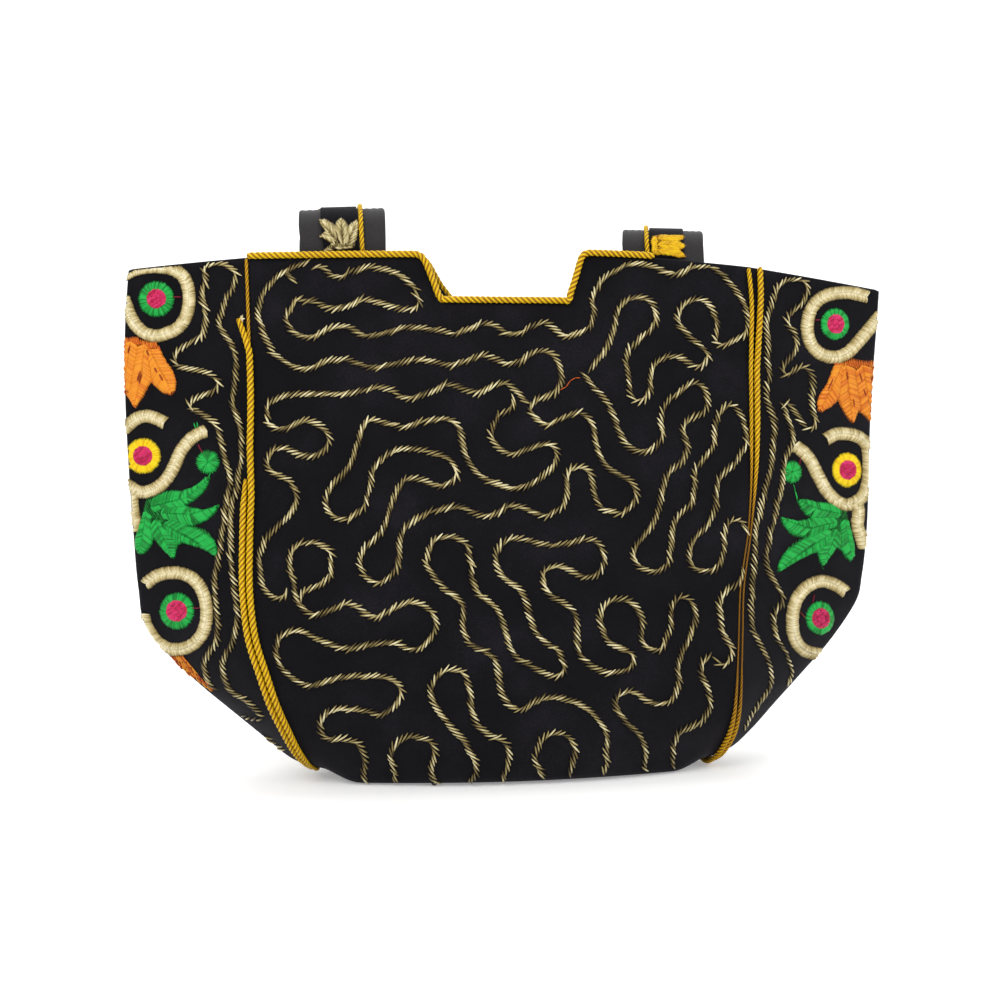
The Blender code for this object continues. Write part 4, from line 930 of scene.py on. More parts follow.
def band(name, stations, across_from, across_to, face_from, face_to, ribs, rib_deep, node):
    """A flat band with rounded edges along stations; its faces may carry ribs along its length."""
    across = np.linspace(across_from, across_to, ribs)
    top = [(w, face_to + (rib_deep if i % 2 else 0.0)) for i, w in enumerate(across)]
    low = [(w, face_from - (rib_deep if i % 2 else 0.0)) for i, w in enumerate(across)][::-1]
    edge = EDGE_ROUND * abs(face_to - face_from)
    top[0], top[-1] = (across_from + edge, face_to), (across_to - edge, face_to)
    low[0], low[-1] = (across_to - edge, face_from), (across_from + edge, face_from)
    centre = (face_from + face_to) / 2
    section = [(across_from, centre)] + top + [(across_to, centre)] + low
    n = len(section)
    run = lengths(stations)
    points = [place + width * w + face * f for place, width, face in stations for w, f in section]
    faces = []
    for s in range(len(stations) - 1):
        for k in range(n):
            faces.append((s * n + k, s * n + (k + 1) % n, (s + 1) * n + (k + 1) % n, (s + 1) * n + k))
    last = (len(stations) - 1) * n
    faces += [tuple(reversed(range(n))), tuple(range(last, last + n))]
    made = write_mesh(name, points, faces)
    lay = made.data.attributes.new("lay", "FLOAT_VECTOR", "POINT")
    lay.data.foreach_set("vector", np.array([(w, r, f) for r in run for w, f in section], np.float32).ravel() * MM)
    turned_outwards(made)
    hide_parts(node)
    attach(made, "root")
    return made


HANDLES = {}
half = STRAP_THICK / 2
for side, front, out in (("front", True, 1.0), ("back", False, -1.0)):
    stations = handle_path(front)
    strap = band(
        side + "_webbing_handle", stations, -STRAP_WIDTH / 2, STRAP_WIDTH / 2, -half + RIB_DEEP, half - RIB_DEEP,
        RIBS, RIB_DEEP, side + "_handle_strap")
    kept = [s for s in stations if s[0][2] > RIBBON_START or s[0][1] > RIBBON_BEHIND]
    ribbon = band(
        side + "_velvet_ribbon", kept, RIBBON_FROM, RIBBON_TO, out * (half + GAP * 0.5),
        out * (half + GAP + RIBBON_THICK), RIBBON_LINES, 0.0, side + "_handle_ribbon")
    path = [p + w * HANDLE_CORD_AT + f * out * (half + 0.1 + HANDLE_CORD) for p, w, f in kept]
    handle_cord = twisted_cord(
        side + "_handle_yellow_cord", path, np.full(len(path), HANDLE_CORD), side + "_handle_cord")
    HANDLES[side] = (stations, strap, ribbon, handle_cord)
    print(side, "handle", round(float(lengths(stations)[-1]), 1), "mm long")

# %% [markdown]
# Cotton velvet is a woven ground with a short, dense, upright pile. Face on it swallows light and reads almost
# black, and where the surface turns away the pile tips catch a soft grey bloom. Sheen with a high roughness
# gives that bloom, and a slow noise lets the pile lean this way and that, as it does after handling.

# %% Velvet
PILE_LEAN_MM, PILE_TUFT_MM, PILE_DEEP_MM = 38.0, 0.9, 0.25
VELVET_BLACKS = [(0.32, "#060508"), (0.52, "#0d0c10"), (0.70, "#1c1a20")]
velvet, tree, shader = new_material("black_cotton_velvet")
where = add(tree, "ShaderNodeTexCoord").outputs["Object"]
lean = add(tree, NOISE, Vector=where, Scale=1 / (PILE_LEAN_MM * MM), Detail=3.0, Roughness=0.6).outputs["Fac"]
tuft = add(tree, NOISE, Vector=where, Scale=1 / (PILE_TUFT_MM * MM), Detail=2.0, Roughness=0.7).outputs["Fac"]
shade = add(tree, MATH, TIMES_PLUS, i0=lean, i1=0.6, i2=add(tree, MATH, TIMES, i0=tuft, i1=0.4))
fill(
    tree, shader, Base_Color=add(tree, RAMP, {"stops": VELVET_BLACKS}, Fac=shade), Roughness=0.92,
    Specular_IOR_Level=0.12, Sheen_Weight=0.10, Sheen_Roughness=0.45, Sheen_Tint=linear("#b9b6c4"),
    Normal=add(tree, "ShaderNodeBump", Strength=0.5, Distance=PILE_DEEP_MM * MM, Height=tuft))
for piece in (body, left, right):
    piece.data.materials.append(velvet)
print(velvet.name, len(tree.nodes), "nodes")

# %% [markdown]
# Embroidery floss is a loose bundle of shiny rayon or silk filaments. Up close each strand shows fine lines
# along its length and a bright streak where it arches over, which is a painted highlight here: the colour is
# lighter along the top of each strand. The strand's own coordinates were stored on the pattern, so the filament
# lines run along every copy. Each stitch also carries a random tone, for dye and lay.

# %% Floss
FILAMENT_DEEP_MM, DARKEST = 0.12, 0.28


def floss(name, stops, roughness=0.42, painted_end_brightness=0.25, contrast=0.5, painted_far_end_light=0.0):
    """Shiny thread in colours from its shaded side to its bright one, with light and shade painted into the colour.

    The fourth argument paints both ends of a stitch lighter, and darker where it is below 0, the last one paints
    its far end lighter, and contrast is how much stitches differ.
    """
    made, tree, shader = new_material(name)
    course = add(tree, "ShaderNodeAttribute", {"attribute_name": "course"}).outputs["Vector"]
    tone = add(tree, "ShaderNodeAttribute", {"attribute_name": "tone"}).outputs["Fac"]
    along, across, height = add(tree, "ShaderNodeSeparateXYZ", Vector=course).outputs
    drawn = add(
        tree, "ShaderNodeCombineXYZ", X=add(tree, MATH, TIMES, i0=along, i1=1.4),
        Y=add(tree, MATH, TIMES, i0=across, i1=3.2), Z=add(tree, MATH, TIMES, i0=tone, i1=40.0))
    filament = add(tree, NOISE, Vector=drawn, Scale=2.2, Detail=2.0, Roughness=0.6).outputs["Fac"]
    from_middle = add(tree, MATH, UNSIGNED, i0=along)
    # Painted highlight: the top of each strand is lighter in colour.
    shade = add(tree, MATH, TIMES, i0=height, i1=0.22)
    # Painted light and shade at the ends of a stitch: a positive weight lightens them, a negative one darkens them.
    for part, share in ((tone, contrast), (filament, 0.7), (from_middle, painted_end_brightness), (along, painted_far_end_light)):
        shade = add(tree, MATH, TIMES_PLUS, i0=part, i1=share, i2=shade)
    step = (1.0 - DARKEST) / (len(stops) - 1)
    colours = {"stops": [(DARKEST + step * i, colour) for i, colour in enumerate(stops)]}
    fill(
        tree, shader, Base_Color=add(tree, RAMP, colours, Fac=shade), Roughness=roughness,
        Specular_IOR_Level=0.2, Sheen_Weight=0.03,
        Normal=add(tree, "ShaderNodeBump", Strength=0.35, Distance=FILAMENT_DEEP_MM * MM, Height=filament))
    return made


# The gold's ends are painted darker and the other threads' ends lighter; gold and cream also get a painted lighter far
# end.
gold = floss("gold_rayon_floss", ["#1c1406", "#65552c", "#b0a06a", "#f4eabf"], 0.36, -0.45, 0.45, 0.3)
cream = floss("cream_rayon_floss", ["#6f5c2e", "#ab9760", "#dccd9c", "#f8f0d2"], 0.4, 0.1, 0.3, 0.5)
green = floss("green_rayon_floss", ["#022c0d", "#056420", "#0e9236", "#20b44c"], 0.42, 0.25, 0.65)
orange = floss("orange_rayon_floss", ["#7c2808", "#b84a12", "#d9711a", "#ea9828"], 0.42, 0.1, 0.65)
magenta = floss("magenta_rayon_floss", ["#760b2a", "#b01546", "#d2265c", "#e03c78"])
yellow = floss("yellow_rayon_floss", ["#a87606", "#e0ae08", "#f2d00e", "#f8de22"])
print("six colours of floss, gold with", len(gold.node_tree.nodes), "nodes")

# %% [markdown]
# The cord is the same rayon, spun into three plies. The tops of the plies are a clear yellow, and the grooves
# go to a golden brown because light that enters them is reflected from thread to thread; that brown is painted
# shade in the cord's colour. A seam cord is also painted darker, mostly where it sinks into its seam.

# %% Cord finish
CORD_HAIR_MM, CORD_WEAR_MM, CORD_HAIR_DEEP_MM = 0.5, 30.0, 0.12
CORD_YELLOWS = [(0.60, "#573602"), (0.78, "#a67303"), (0.90, "#d4a306"), (1.0, "#eac510")]
cord_finish, tree, shader = new_material("twisted_yellow_rayon_cord")
groove, soil = (
    add(tree, "ShaderNodeAttribute", {"attribute_name": name}).outputs["Fac"] for name in ("groove", "soil"))
where = add(tree, "ShaderNodeTexCoord").outputs["Object"]
hair, wear = (
    add(tree, NOISE, Vector=where, Scale=1 / (size * MM), Detail=2.0).outputs["Fac"]
    for size in (CORD_HAIR_MM, CORD_WEAR_MM))
# Painted shade: the colour darkens in the grooves between the plies, and further where a seam cord sinks into its seam.
shade = add(tree, MATH, MINUS, i0=groove, i1=0.13)
for part, share in ((soil, -0.22), (wear, 0.10), (hair, 0.16)):
    shade = add(tree, MATH, TIMES_PLUS, i0=part, i1=share, i2=shade)
fill(
    tree, shader, Base_Color=add(tree, RAMP, {"stops": CORD_YELLOWS}, Fac=shade), Roughness=0.45,
    Specular_IOR_Level=0.22,
    Normal=add(tree, "ShaderNodeBump", Strength=0.4, Distance=CORD_HAIR_DEEP_MM * MM, Height=hair))
cords = [o for o in bpy.context.scene.objects if o.type == "MESH" and o.name.endswith("_cord")]
cords = [cord for cord in cords if cord.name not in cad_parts]
for cord in cords:
    cord.data.materials.append(cord_finish)
print(len(cords), "cords")

# %% [markdown]
# The handles are polyester webbing, woven with ribs along its length, which are in the mesh, and a pick across
# every 1.2 mm, which is a sine wave on the strap's own coordinates. Its surface is dull and a little hairy.

# %% Webbing
PICK_MM, FUZZ_MM, WEBBING_DEEP_MM = 1.2, 1.1, 0.25
WEBBING_BLACKS = [(0.25, "#0a0809"), (0.5, "#131012"), (0.8, "#241e20")]
webbing, tree, shader = new_material("ribbed_polyester_webbing")
lay = add(tree, "ShaderNodeAttribute", {"attribute_name": "lay"}).outputs["Vector"]
run = add(tree, "ShaderNodeSeparateXYZ", Vector=lay).outputs[1]
picks = add(tree, MATH, SINE, i0=add(tree, MATH, TIMES, i0=run, i1=2 * math.pi / (PICK_MM * MM)))
where = add(tree, "ShaderNodeTexCoord").outputs["Object"]
fuzz = add(tree, NOISE, Vector=where, Scale=1 / (FUZZ_MM * MM), Detail=3.0, Roughness=0.7).outputs["Fac"]
height = add(tree, MATH, TIMES_PLUS, i0=picks, i1=0.05, i2=fuzz)
fill(
    tree, shader, Base_Color=add(tree, RAMP, {"stops": WEBBING_BLACKS}, Fac=height), Roughness=0.8,
    Sheen_Weight=0.05,
    Normal=add(tree, "ShaderNodeBump", Strength=0.45, Distance=WEBBING_DEEP_MM * MM, Height=height))
for _, strap, ribbon, _ in HANDLES.values():
    strap.data.materials.append(webbing)
    ribbon.data.materials.append(velvet)
print(webbing.name, len(tree.nodes), "nodes")

# %% [markdown]
# The lining is plain-woven black cotton. Its warp and weft are two sine waves across each other, every 0.8 mm,
# which is drawn a little coarser than real so that it shows.

# %% Cotton
YARN_MM, COTTON_DEEP_MM = 0.8, 0.15
cotton, tree, shader = new_material("plain_woven_black_cotton")
where = add(tree, "ShaderNodeTexCoord").outputs["Object"]
x, _, z = add(tree, "ShaderNodeSeparateXYZ", Vector=where).outputs
warp, weft = (
    add(tree, MATH, SINE, i0=add(tree, MATH, TIMES, i0=axis, i1=2 * math.pi / (YARN_MM * MM))) for axis in (x, z))
weave = add(tree, MATH, TIMES, i0=warp, i1=weft)
shade = add(tree, MATH, TIMES_PLUS, i0=weave, i1=0.25, i2=0.5)
black = add(tree, RAMP, {"stops": [(0.2, "#121215"), (0.8, "#232328")]}, Fac=shade)
bump = add(tree, "ShaderNodeBump", Strength=0.4, Distance=COTTON_DEEP_MM * MM, Height=weave)
fill(tree, shader, Base_Color=black, Roughness=0.85, Normal=bump)
lining.data.materials.append(cotton)
print(len(bpy.data.materials), "materials")

# %% [markdown]
# The gold work is laid by hand in long wandering runs. Each run below is the line that the needle follows,
# written in picture pixels from left to right and top to bottom. A smooth curve goes through the points, and
# the camera's rays carry it on to the cloth.

# %% The runs of gold thread


def pixels(text):
    """Picture points from a line of x,y pairs."""
    return [tuple(float(v) for v in pair.split(",")) for pair in text.split()]


FRONT_RUNS = {
    "outer run": pixels("""309,262 302,264 293,267 285,272 279,275 273,281 270,285 265,290 261,300 259,306 258,312
259,320 262,327 263,333 266,340 269,345 272,352 279,358 285,362 293,366 302,369 312,368 320,364 327,361 338,360
348,360 355,363 364,366 373,368 382,367 391,365 405,362 414,360 423,360 432,362 440,364 447,365 455,365 463,362
469,360 477,357 485,355 492,358 500,362 508,364 516,363 523,360 528,356 536,352 545,351 552,354 558,363 561,375
560,384 555,392 547,396 538,399 533,403 530,408 533,415 540,422 548,425 556,421 563,418 570,415 577,413 583,414
588,418 592,425 594,432 595,440 597,448 600,456 604,463 610,469 617,474 624,477 630,481 634,486 636,492 635,499
631,505 626,510 620,514 613,512 606,510 600,506 597,500 594,493 593,486 592,479 590,472 586,468 579,467 572,468
568,473 566,479 567,486 567,493 565,500 562,507 557,510 551,514 545,516 538,514 531,511 524,508 517,506 511,505
505,508 500,511 494,514 487,516 480,515 473,512 466,509 459,507 452,507 445,508 438,510 431,511 424,515 417,519
410,523 405,527 402,533 400,541 399,548 399,556 398,564 395,570 391,575 385,580 379,583 372,581 366,577 362,570
360,562 361,555 364,549 369,544 375,539 380,534 384,527 387,520 389,512 391,505 394,498 397,491 401,485 405,480
411,478 418,479 425,481 432,484 439,486 445,485 451,482 455,478 457,472 454,465 450,460 444,457 437,454 430,452
423,450 415,449 407,449 400,449 396,450 390,453 384,457 378,463 374,468 372,474 371,481 369,489 367,496 366,503
362,509 357,513 352,516 347,520 342,519 335,517 330,513 327,508 326,500 328,493 331,487 335,482 341,477 346,471
351,463 354,455 356,448 359,440 361,432 364,426 368,421 375,420 381,422 388,424 395,425 400,427 405,427 413,425
420,422 428,421 437,420 445,419 452,421 458,427 461,434 462,442 464,451 467,459 472,467 477,473 484,478 492,482
500,485 508,488 517,488 525,487 533,483 540,478 546,473 550,470 554,465 557,457 556,450 553,446 547,444 540,445
533,447 527,449 520,452 513,454 507,453 501,450 497,446 493,441 491,436 493,428 496,421 500,414 508,411 513,405
514,397"""),
    "long loop left": pixels("""528,404 523,399 518,393 512,387 507,383 499,384 492,386 484,391 477,393 469,391
461,388 453,385 447,384 439,388 431,392 424,394 417,397 408,398 400,396 393,391 385,388 376,387 366,390 355,392
344,394 332,394 321,394 310,394 300,394 289,395 281,397 274,400 269,403 267,409 268,416 267,421 272,426 277,429
283,429 290,427 296,424 303,421 310,421 317,424 323,429 328,434 329,441 326,448 320,453 313,456 306,456 300,455
294,452 288,449 282,448 275,449 270,454 267,461 268,467 272,472 278,475 284,478 290,482 294,488 296,495 296,503
293,509 288,516 282,522 276,528 270,534 265,540 263,546 260,553 259,560 260,568 261,576 262,584 265,590 270,595
276,598 283,597 288,592"""),
    "low left": pixels("""300,598 306,590 313,588 319,585 325,581 330,577 331,570 331,560 331,554 328,549 322,545
315,542 308,543 301,543 295,547 291,553 290,560 290,568 292,577 294,585 295,592 297,600 301,606 306,611 312,615
320,614 327,612 334,609 340,606 347,603 353,605 359,608 365,613 371,617 378,617 384,614 390,611 394,607 398,606
404,604 410,602 418,603 425,607 431,611 435,618 436,625 434,632 430,638 426,643 420,648 412,649 404,647 397,643
391,642 384,643 377,643 370,644 363,646 356,647 349,648 342,648 335,646 328,643 321,640 314,637 307,633 300,631
293,631 286,633 280,637 277,644 276,650 277,657 279,663 283,669 289,675 296,680 303,684 310,686 317,684 324,682
331,680 338,678 345,677 352,676 360,676 368,676 376,676 384,677 391,679 397,683 401,688 401,695 398,701 394,706
389,710 383,713 376,714 370,711 363,710 356,709 349,709 342,708 336,709 329,711 324,716 321,720 321,727 322,733
328,738 335,738 342,738 349,740 355,741 360,745 363,751 365,758 365,766 364,773 366,781"""),
    "upper run": pixels("""314,267 323,268 329,274 337,277 342,277 349,272 356,271 364,268 372,267 380,269 389,271
397,274 404,278 409,284 415,289 416,295 419,303 414,309 405,309 396,308 389,306 380,303 369,300 360,300 351,305
341,308 334,309 327,307 321,305 314,301 306,301 298,299 293,305 291,309 287,313 286,318 288,324 292,331 298,335
305,337 313,337 321,333 329,328 337,327 347,327 355,331 360,335 369,336 378,335 386,333 397,330 403,328 413,328
421,328 430,330 438,330 444,332 453,334 463,331 472,328 481,324 489,324 498,328 506,334 514,334 521,333 528,328
536,325 546,323 554,329 564,336 573,335 582,332 590,326 593,318 594,309 592,301 594,293 599,285 603,279 610,274
618,270 626,265 635,264 645,265 654,267 662,271 670,274 677,274 684,272 690,268 701,266 711,267 718,272 724,277
730,284 736,291 740,298 744,305 747,313 748,320 747,328 744,335 738,338 732,341 727,344 722,345 718,344 715,340
716,333 717,324 714,315 711,307 705,301 696,299 687,302 681,308 677,317 679,324 684,331 689,337 696,343 703,349
708,357 705,362 700,366 693,366 686,361 679,357 670,356 661,359 654,365 651,373 650,380 650,390 646,397 640,401
633,399 630,391 629,382 628,373 626,363 627,354 630,348 636,343 643,336 649,331 653,326 656,319 655,310 652,303
646,299 640,297 632,298 624,302 619,308 616,315 615,324 612,333 609,342 604,351 599,358 593,365 588,370"""),
    "right run": pixels("""584,374 587,379 592,386 599,393 604,399 610,408 613,415 615,422 618,429 621,436 625,443
630,448 636,451 643,452 650,450 656,446 660,441 663,435 661,428 661,420 662,412 664,407 670,399 677,394 684,388
690,384 698,384 705,390 707,399 707,405 703,412 697,416 690,418 685,423 683,429 684,436 686,443 687,450 684,457
680,463 674,467 669,472 666,478 663,485 662,492 660,500 658,508 656,516 653,523 648,530 643,536 639,541 635,547
633,554 635,561 640,567 646,570 653,572 660,570 666,566 669,560 670,552 671,544 672,536 673,528 675,521 679,515
684,510 690,505 693,498 694,490 695,482 694,475 696,468 701,462 706,456 711,450 714,443 714,435 715,427 717,419
720,412 725,407 731,405 737,409 740,415 743,422 745,430 746,438 746,445 742,451 738,457 734,464 728,469 722,474
718,480 717,487 716,494 716,502 714,510 711,517 708,524 703,529 697,535 693,541 690,548 689,555 690,562 694,568
700,570 707,571 714,569 719,565 722,558 724,551 724,543 724,535 726,528 729,522 734,520 740,521 744,526 746,533"""),
    "right low hook": pixels("""744,570 742,577 738,583 731,587 725,592 721,598 719,606 720,614 721,622 722,630
725,636 728,642 731,648 731,655 728,660 725,664 720,664 716,658"""),
    "right foot": pixels("""710,656 705,659 702,664 701,670 702,676 705,683 708,690 709,697 710,704 708,711 704,717
699,722 693,725 686,728 680,731 676,738 673,744 673,752 672,760 673,768"""),
    "middle run": pixels("""602,774 605,768 607,760 606,753 607,745 607,737 605,729 601,723 596,717 590,711 583,706
576,702 569,700 562,698 556,697 550,697 543,698 536,701 530,704 524,708 517,709 510,705 505,699 502,692 500,685
499,678 498,671 497,664 494,658 488,653 481,649 474,646 468,641 465,634 463,626 463,618 464,610 461,603 456,597
449,592 442,586 436,579 431,572 427,565 426,562 428,555 430,548 433,542 438,538 444,537 450,537 456,538 462,541
467,546 469,553 470,560 472,566 471,573 473,580 475,587 478,593 483,597 489,602 495,607 499,613 502,620 504,627
506,634 508,641 510,648 514,654 519,659 526,663 533,667 540,671 547,674 554,676 560,675 564,670 563,662 561,655
557,649 551,646 545,641 539,636 534,629 531,621 529,613 527,604 524,596 519,589 513,584 507,580 501,575 498,567
496,560 496,553 499,547 504,542 510,539 517,538 524,540 531,541 538,543 545,545 552,546 558,544 563,544 570,543
577,541 584,539 591,540 597,542 601,547 603,553 604,560 603,565 600,571 595,575 589,577 583,577 576,574 570,570
563,567 556,566 551,567 545,570 543,577 544,584 546,590 551,596 558,600 565,604 571,609 575,615 577,622 577,629
577,637 577,644 578,651 582,657 588,663 595,668 602,671 609,673 616,672 623,671 629,668 633,662 633,656 627,651
620,648 613,644 607,639 603,632 601,624 600,617 602,610 606,604 612,600 619,599 626,600 633,604 638,610 641,617
642,624 641,632 642,640 646,646 651,649 657,650 662,647 665,641 668,634 671,627 671,619 671,611 673,604 677,599
683,597 689,600 693,605 695,612 695,620 692,628 690,636 686,644 682,651 680,658 678,665 678,673 679,680 677,688
674,695 670,700 664,703 657,703 650,702 644,698 638,694 631,691 624,692 619,694 616,699 616,706 619,713 623,718
628,724 634,729 639,735 643,742 645,750 645,758 644,765 646,771"""),
    "foot middle": pixels("""467,785 472,779 476,773 476,766 474,758 470,751 466,743 460,736 453,728 446,720 440,713
435,705 432,697 431,690 433,683 437,677 443,671 449,669 456,670 462,672 466,677 468,684 470,692 471,700 471,708
474,715 476,722 481,728 487,733 494,737 501,739 506,744 509,751 509,758 507,766 504,774 503,782"""),
    "foot left": pixels("""395,784 396,777 394,770 393,763 391,757 392,750 396,744 401,740 407,737 414,736 421,738
428,740 433,744 435,751 434,758 432,766 432,774 436,781 441,785"""),
    "foot right": pixels("""543,778 541,771 538,765 535,759 536,752 539,746 541,741 546,736 552,733 559,733 566,735
571,739 574,745 575,752 573,759 571,766 568,774"""),
    "short hook": pixels("""285,271 289,276 294,283"""),
}
SIDE_RUNS = {
    "left outer": pixels("""204,270 206,280 203,290 203,300 205,310 206,320 204,330 201,337 193,341 186,346 179,350
175,357 175,363 181,367 190,369 199,371 208,373 215,378 219,384 215,390 207,394 199,397 192,401 190,406 195,410
203,415 210,419 216,425 219,432 221,440 223,450 225,459 228,468 230,477 230,487 228,496 226,505 225,515 224,525
222,534 221,543 220,553 218,562 216,571 215,580 215,590 216,600 217,610 218,620 218,630 217,640 213,648 208,655
205,662 206,672 209,682 213,688"""),
    "left inner": pixels("""204,270 207,265 214,264 222,264 229,267 236,274 234,283 232,290 227,297 224,306 221,315
219,322 222,330 227,338 232,346 235,354 236,363 236,372 235,381 234,390 233,398 233,406 236,413 238,420 240,428
242,437 241,446 242,455 241,464 239,473 238,482 237,490 234,498 232,506 231,515 231,523 231,532 231,541 231,550
230,558 232,566 233,574 234,582 235,590 236,599 237,608 238,616 237,625 235,634 233,642 229,650 225,657 223,665
224,673 226,681 230,689 236,694 244,698 250,703 256,709 262,716"""),
    "left hook": pixels("""262,719 255,718 247,717 240,714"""),
    "left fragment": pixels("""267,735 275,744 282,750"""),
    "right inner": pixels("""743,729 747,722 750,716 754,710 758,704 762,698 767,692 770,684 771,676 770,667 767,658
763,650 759,642 755,635 752,625 751,615 751,605 752,595 752,585 753,575 754,565 755,555 755,545 755,535 756,525
759,515 761,505 764,495 766,485 769,475 771,465 772,455 773,445 774,435 774,425 772,415 769,405 766,395 767,385
769,375 768,365 767,355 768,345 767,335 766,325 768,315 771,305 773,300"""),
    "right outer": pixels("""773,300 776,290 782,283 790,279 798,279 805,283 807,290 804,298 800,305 793,310 788,316
787,322 791,329 795,336 796,344 794,352 789,358 784,364 782,370 786,375 792,371 798,368 804,367 809,371 812,379
812,388 811,397 812,406 813,414 815,421 811,428 806,428 801,422 797,415 793,409 789,404 784,404 785,411 788,420
791,430 793,438 791,446 787,453 784,462 783,472 782,482 780,492 777,502 775,512 773,522 770,532 768,542 766,552
766,562 769,572 774,582 779,590 782,598 780,605 775,611 773,618 774,627 776,636 779,643 784,650 787,657 790,665
791,673 789,680 786,686"""),
}
print(len(FRONT_RUNS), "runs on the front,", len(SIDE_RUNS), "on the side panels")

# %% [markdown]
# Every embroidered mark is made of single stitches, each a short strand of floss that dives into the cloth at
# both ends. One strand is modelled once, and a Geometry Nodes tree sets a copy on each stitch's place, turned
# along the stitch and squared to the cloth, with a little unevenness from a fixed seed. The copies are then
# made real, because exported models don't carry instances.

# %% One strand of floss
# each station: how far along, how thick and how high, as shares of the stitch's length, width and height
LONG_STATIONS = (
    (-0.5, 0.22, -0.75), (-0.36, 0.78, -0.05), (-0.14, 1.0, 0.42), (0.14, 1.0, 0.42), (0.36, 0.78, -0.05),
    (0.5, 0.22, -0.75))
SHORT_STATIONS = ((-0.5, 0.3, -0.75), (-0.24, 1.0, 0.3), (0.24, 1.0, 0.3), (0.5, 0.3, -0.75))


def strand_pattern(name, stations, sides):
    """A strand one unit long, wide and high, with its own coordinates stored in "course"."""
    points, faces, course = [], [], []
    for along, girth, rise in stations:
        for k in range(sides):
            a = 2 * math.pi * k / sides
            points.append((along, 0.5 * girth * math.cos(a), 0.5 * rise + 0.5 * girth * math.sin(a)))
            course.append((along, math.cos(a), math.sin(a)))
    for s in range(len(stations) - 1):
        for k in range(sides):
            a, b = s * sides + k, s * sides + (k + 1) % sides
            faces.append((b, a, a + sides, b + sides))
    faces += [tuple(range(sides)), tuple(range(len(points) - 1, len(points) - 1 - sides, -1))]
    made = write_mesh(name, np.array(points) / MM, faces)
    turned_outwards(made)
    stored = made.data.attributes.new("course", "FLOAT_VECTOR", "POINT")
    stored.data.foreach_set("vector", np.array(course, np.float32).ravel())
    print(name, "has", len(faces), "faces")
    return made


long_strand = strand_pattern("long_strand_pattern", LONG_STATIONS, 6)
short_strand = strand_pattern("short_strand_pattern", SHORT_STATIONS, 5)

# %% [markdown]
# The tree reads three vectors that are stored on each point: where the stitch's length lies, which way is away
# from the cloth, and its size. It turns the strand's own axes to the first two, swings it a little about the
# third axis and makes its size a little uneven. A piece can be sewn again with another thread or strand,
# because those are inputs of the tree.

# %% The stitching tree
TREE_INPUTS = {
    "Strand": "NodeSocketObject", "Thread": "NodeSocketMaterial", "Sway": "NodeSocketFloat",
    "Unevenness": "NodeSocketFloat", "Seed": "NodeSocketInt"}


def stitching_tree():
    """A Geometry Nodes tree that lays a strand on every point and makes the copies real."""
    tree = bpy.data.node_groups.new("lay_stitches", "GeometryNodeTree")
    face = tree.interface
    face.new_socket("Geometry", in_out="INPUT", socket_type="NodeSocketGeometry")
    for name, kind in TREE_INPUTS.items():
        face.new_socket(name, in_out="INPUT", socket_type=kind)
    face.new_socket("Geometry", in_out="OUTPUT", socket_type="NodeSocketGeometry")
    given = add(tree, "NodeGroupInput").outputs
    pattern = add(tree, "GeometryNodeObjectInfo", Object=given["Strand"]).outputs["Geometry"]
    lie, upward, size = (
        add(tree, "GeometryNodeInputNamedAttribute", {"data_type": "FLOAT_VECTOR"}, Name=name).outputs["Attribute"]
        for name in ("lie", "upward", "size"))
    turned = add(
        tree, "FunctionNodeAxesToRotation", {"primary_axis": "X", "secondary_axis": "Z"}, Primary_Axis=lie,
        Secondary_Axis=upward)
    least = add(tree, MATH, TIMES, i0=given["Sway"], i1=-1.0)
    sway = add(
        tree, "FunctionNodeRandomValue", {"data_type": "FLOAT"}, i2=least, i3=given["Sway"], Seed=given["Seed"])
    about = add(tree, "FunctionNodeEulerToRotation", Euler=add(tree, "ShaderNodeCombineXYZ", Z=sway.outputs[1]))
    swung = add(tree, "FunctionNodeRotateRotation", {"rotation_space": "LOCAL"}, Rotation=turned, Rotate_By=about)
    low, high = (add(tree, MATH, sign, i0=1.0, i1=given["Unevenness"]) for sign in (MINUS, PLUS))
    uneven = add(
        tree, "FunctionNodeRandomValue", {"data_type": "FLOAT_VECTOR"}, i0=low, i1=high, Seed=given["Seed"])
    scale = add(tree, "ShaderNodeVectorMath", TIMES, i0=size, i1=uneven)
    laid = add(
        tree, "GeometryNodeInstanceOnPoints", Points=given["Geometry"], Instance=pattern, Rotation=swung, Scale=scale)
    real = add(tree, "GeometryNodeRealizeInstances", Geometry=laid)
    dressed = add(tree, "GeometryNodeSetMaterial", Geometry=real, Material=given["Thread"])
    add(tree, "NodeGroupOutput", Geometry=dressed)
    return tree


STITCHING = stitching_tree()
print("the tree has", len(STITCHING.nodes), "nodes")

# %% [markdown]
# To sew a piece, its stitches become the points of a bare mesh, the tree is put on it as a modifier, and the
# evaluated result is kept as a plain mesh. An input of the modifier is set by its socket's identifier.

# %% Sewing
STITCH_COUNT = {}


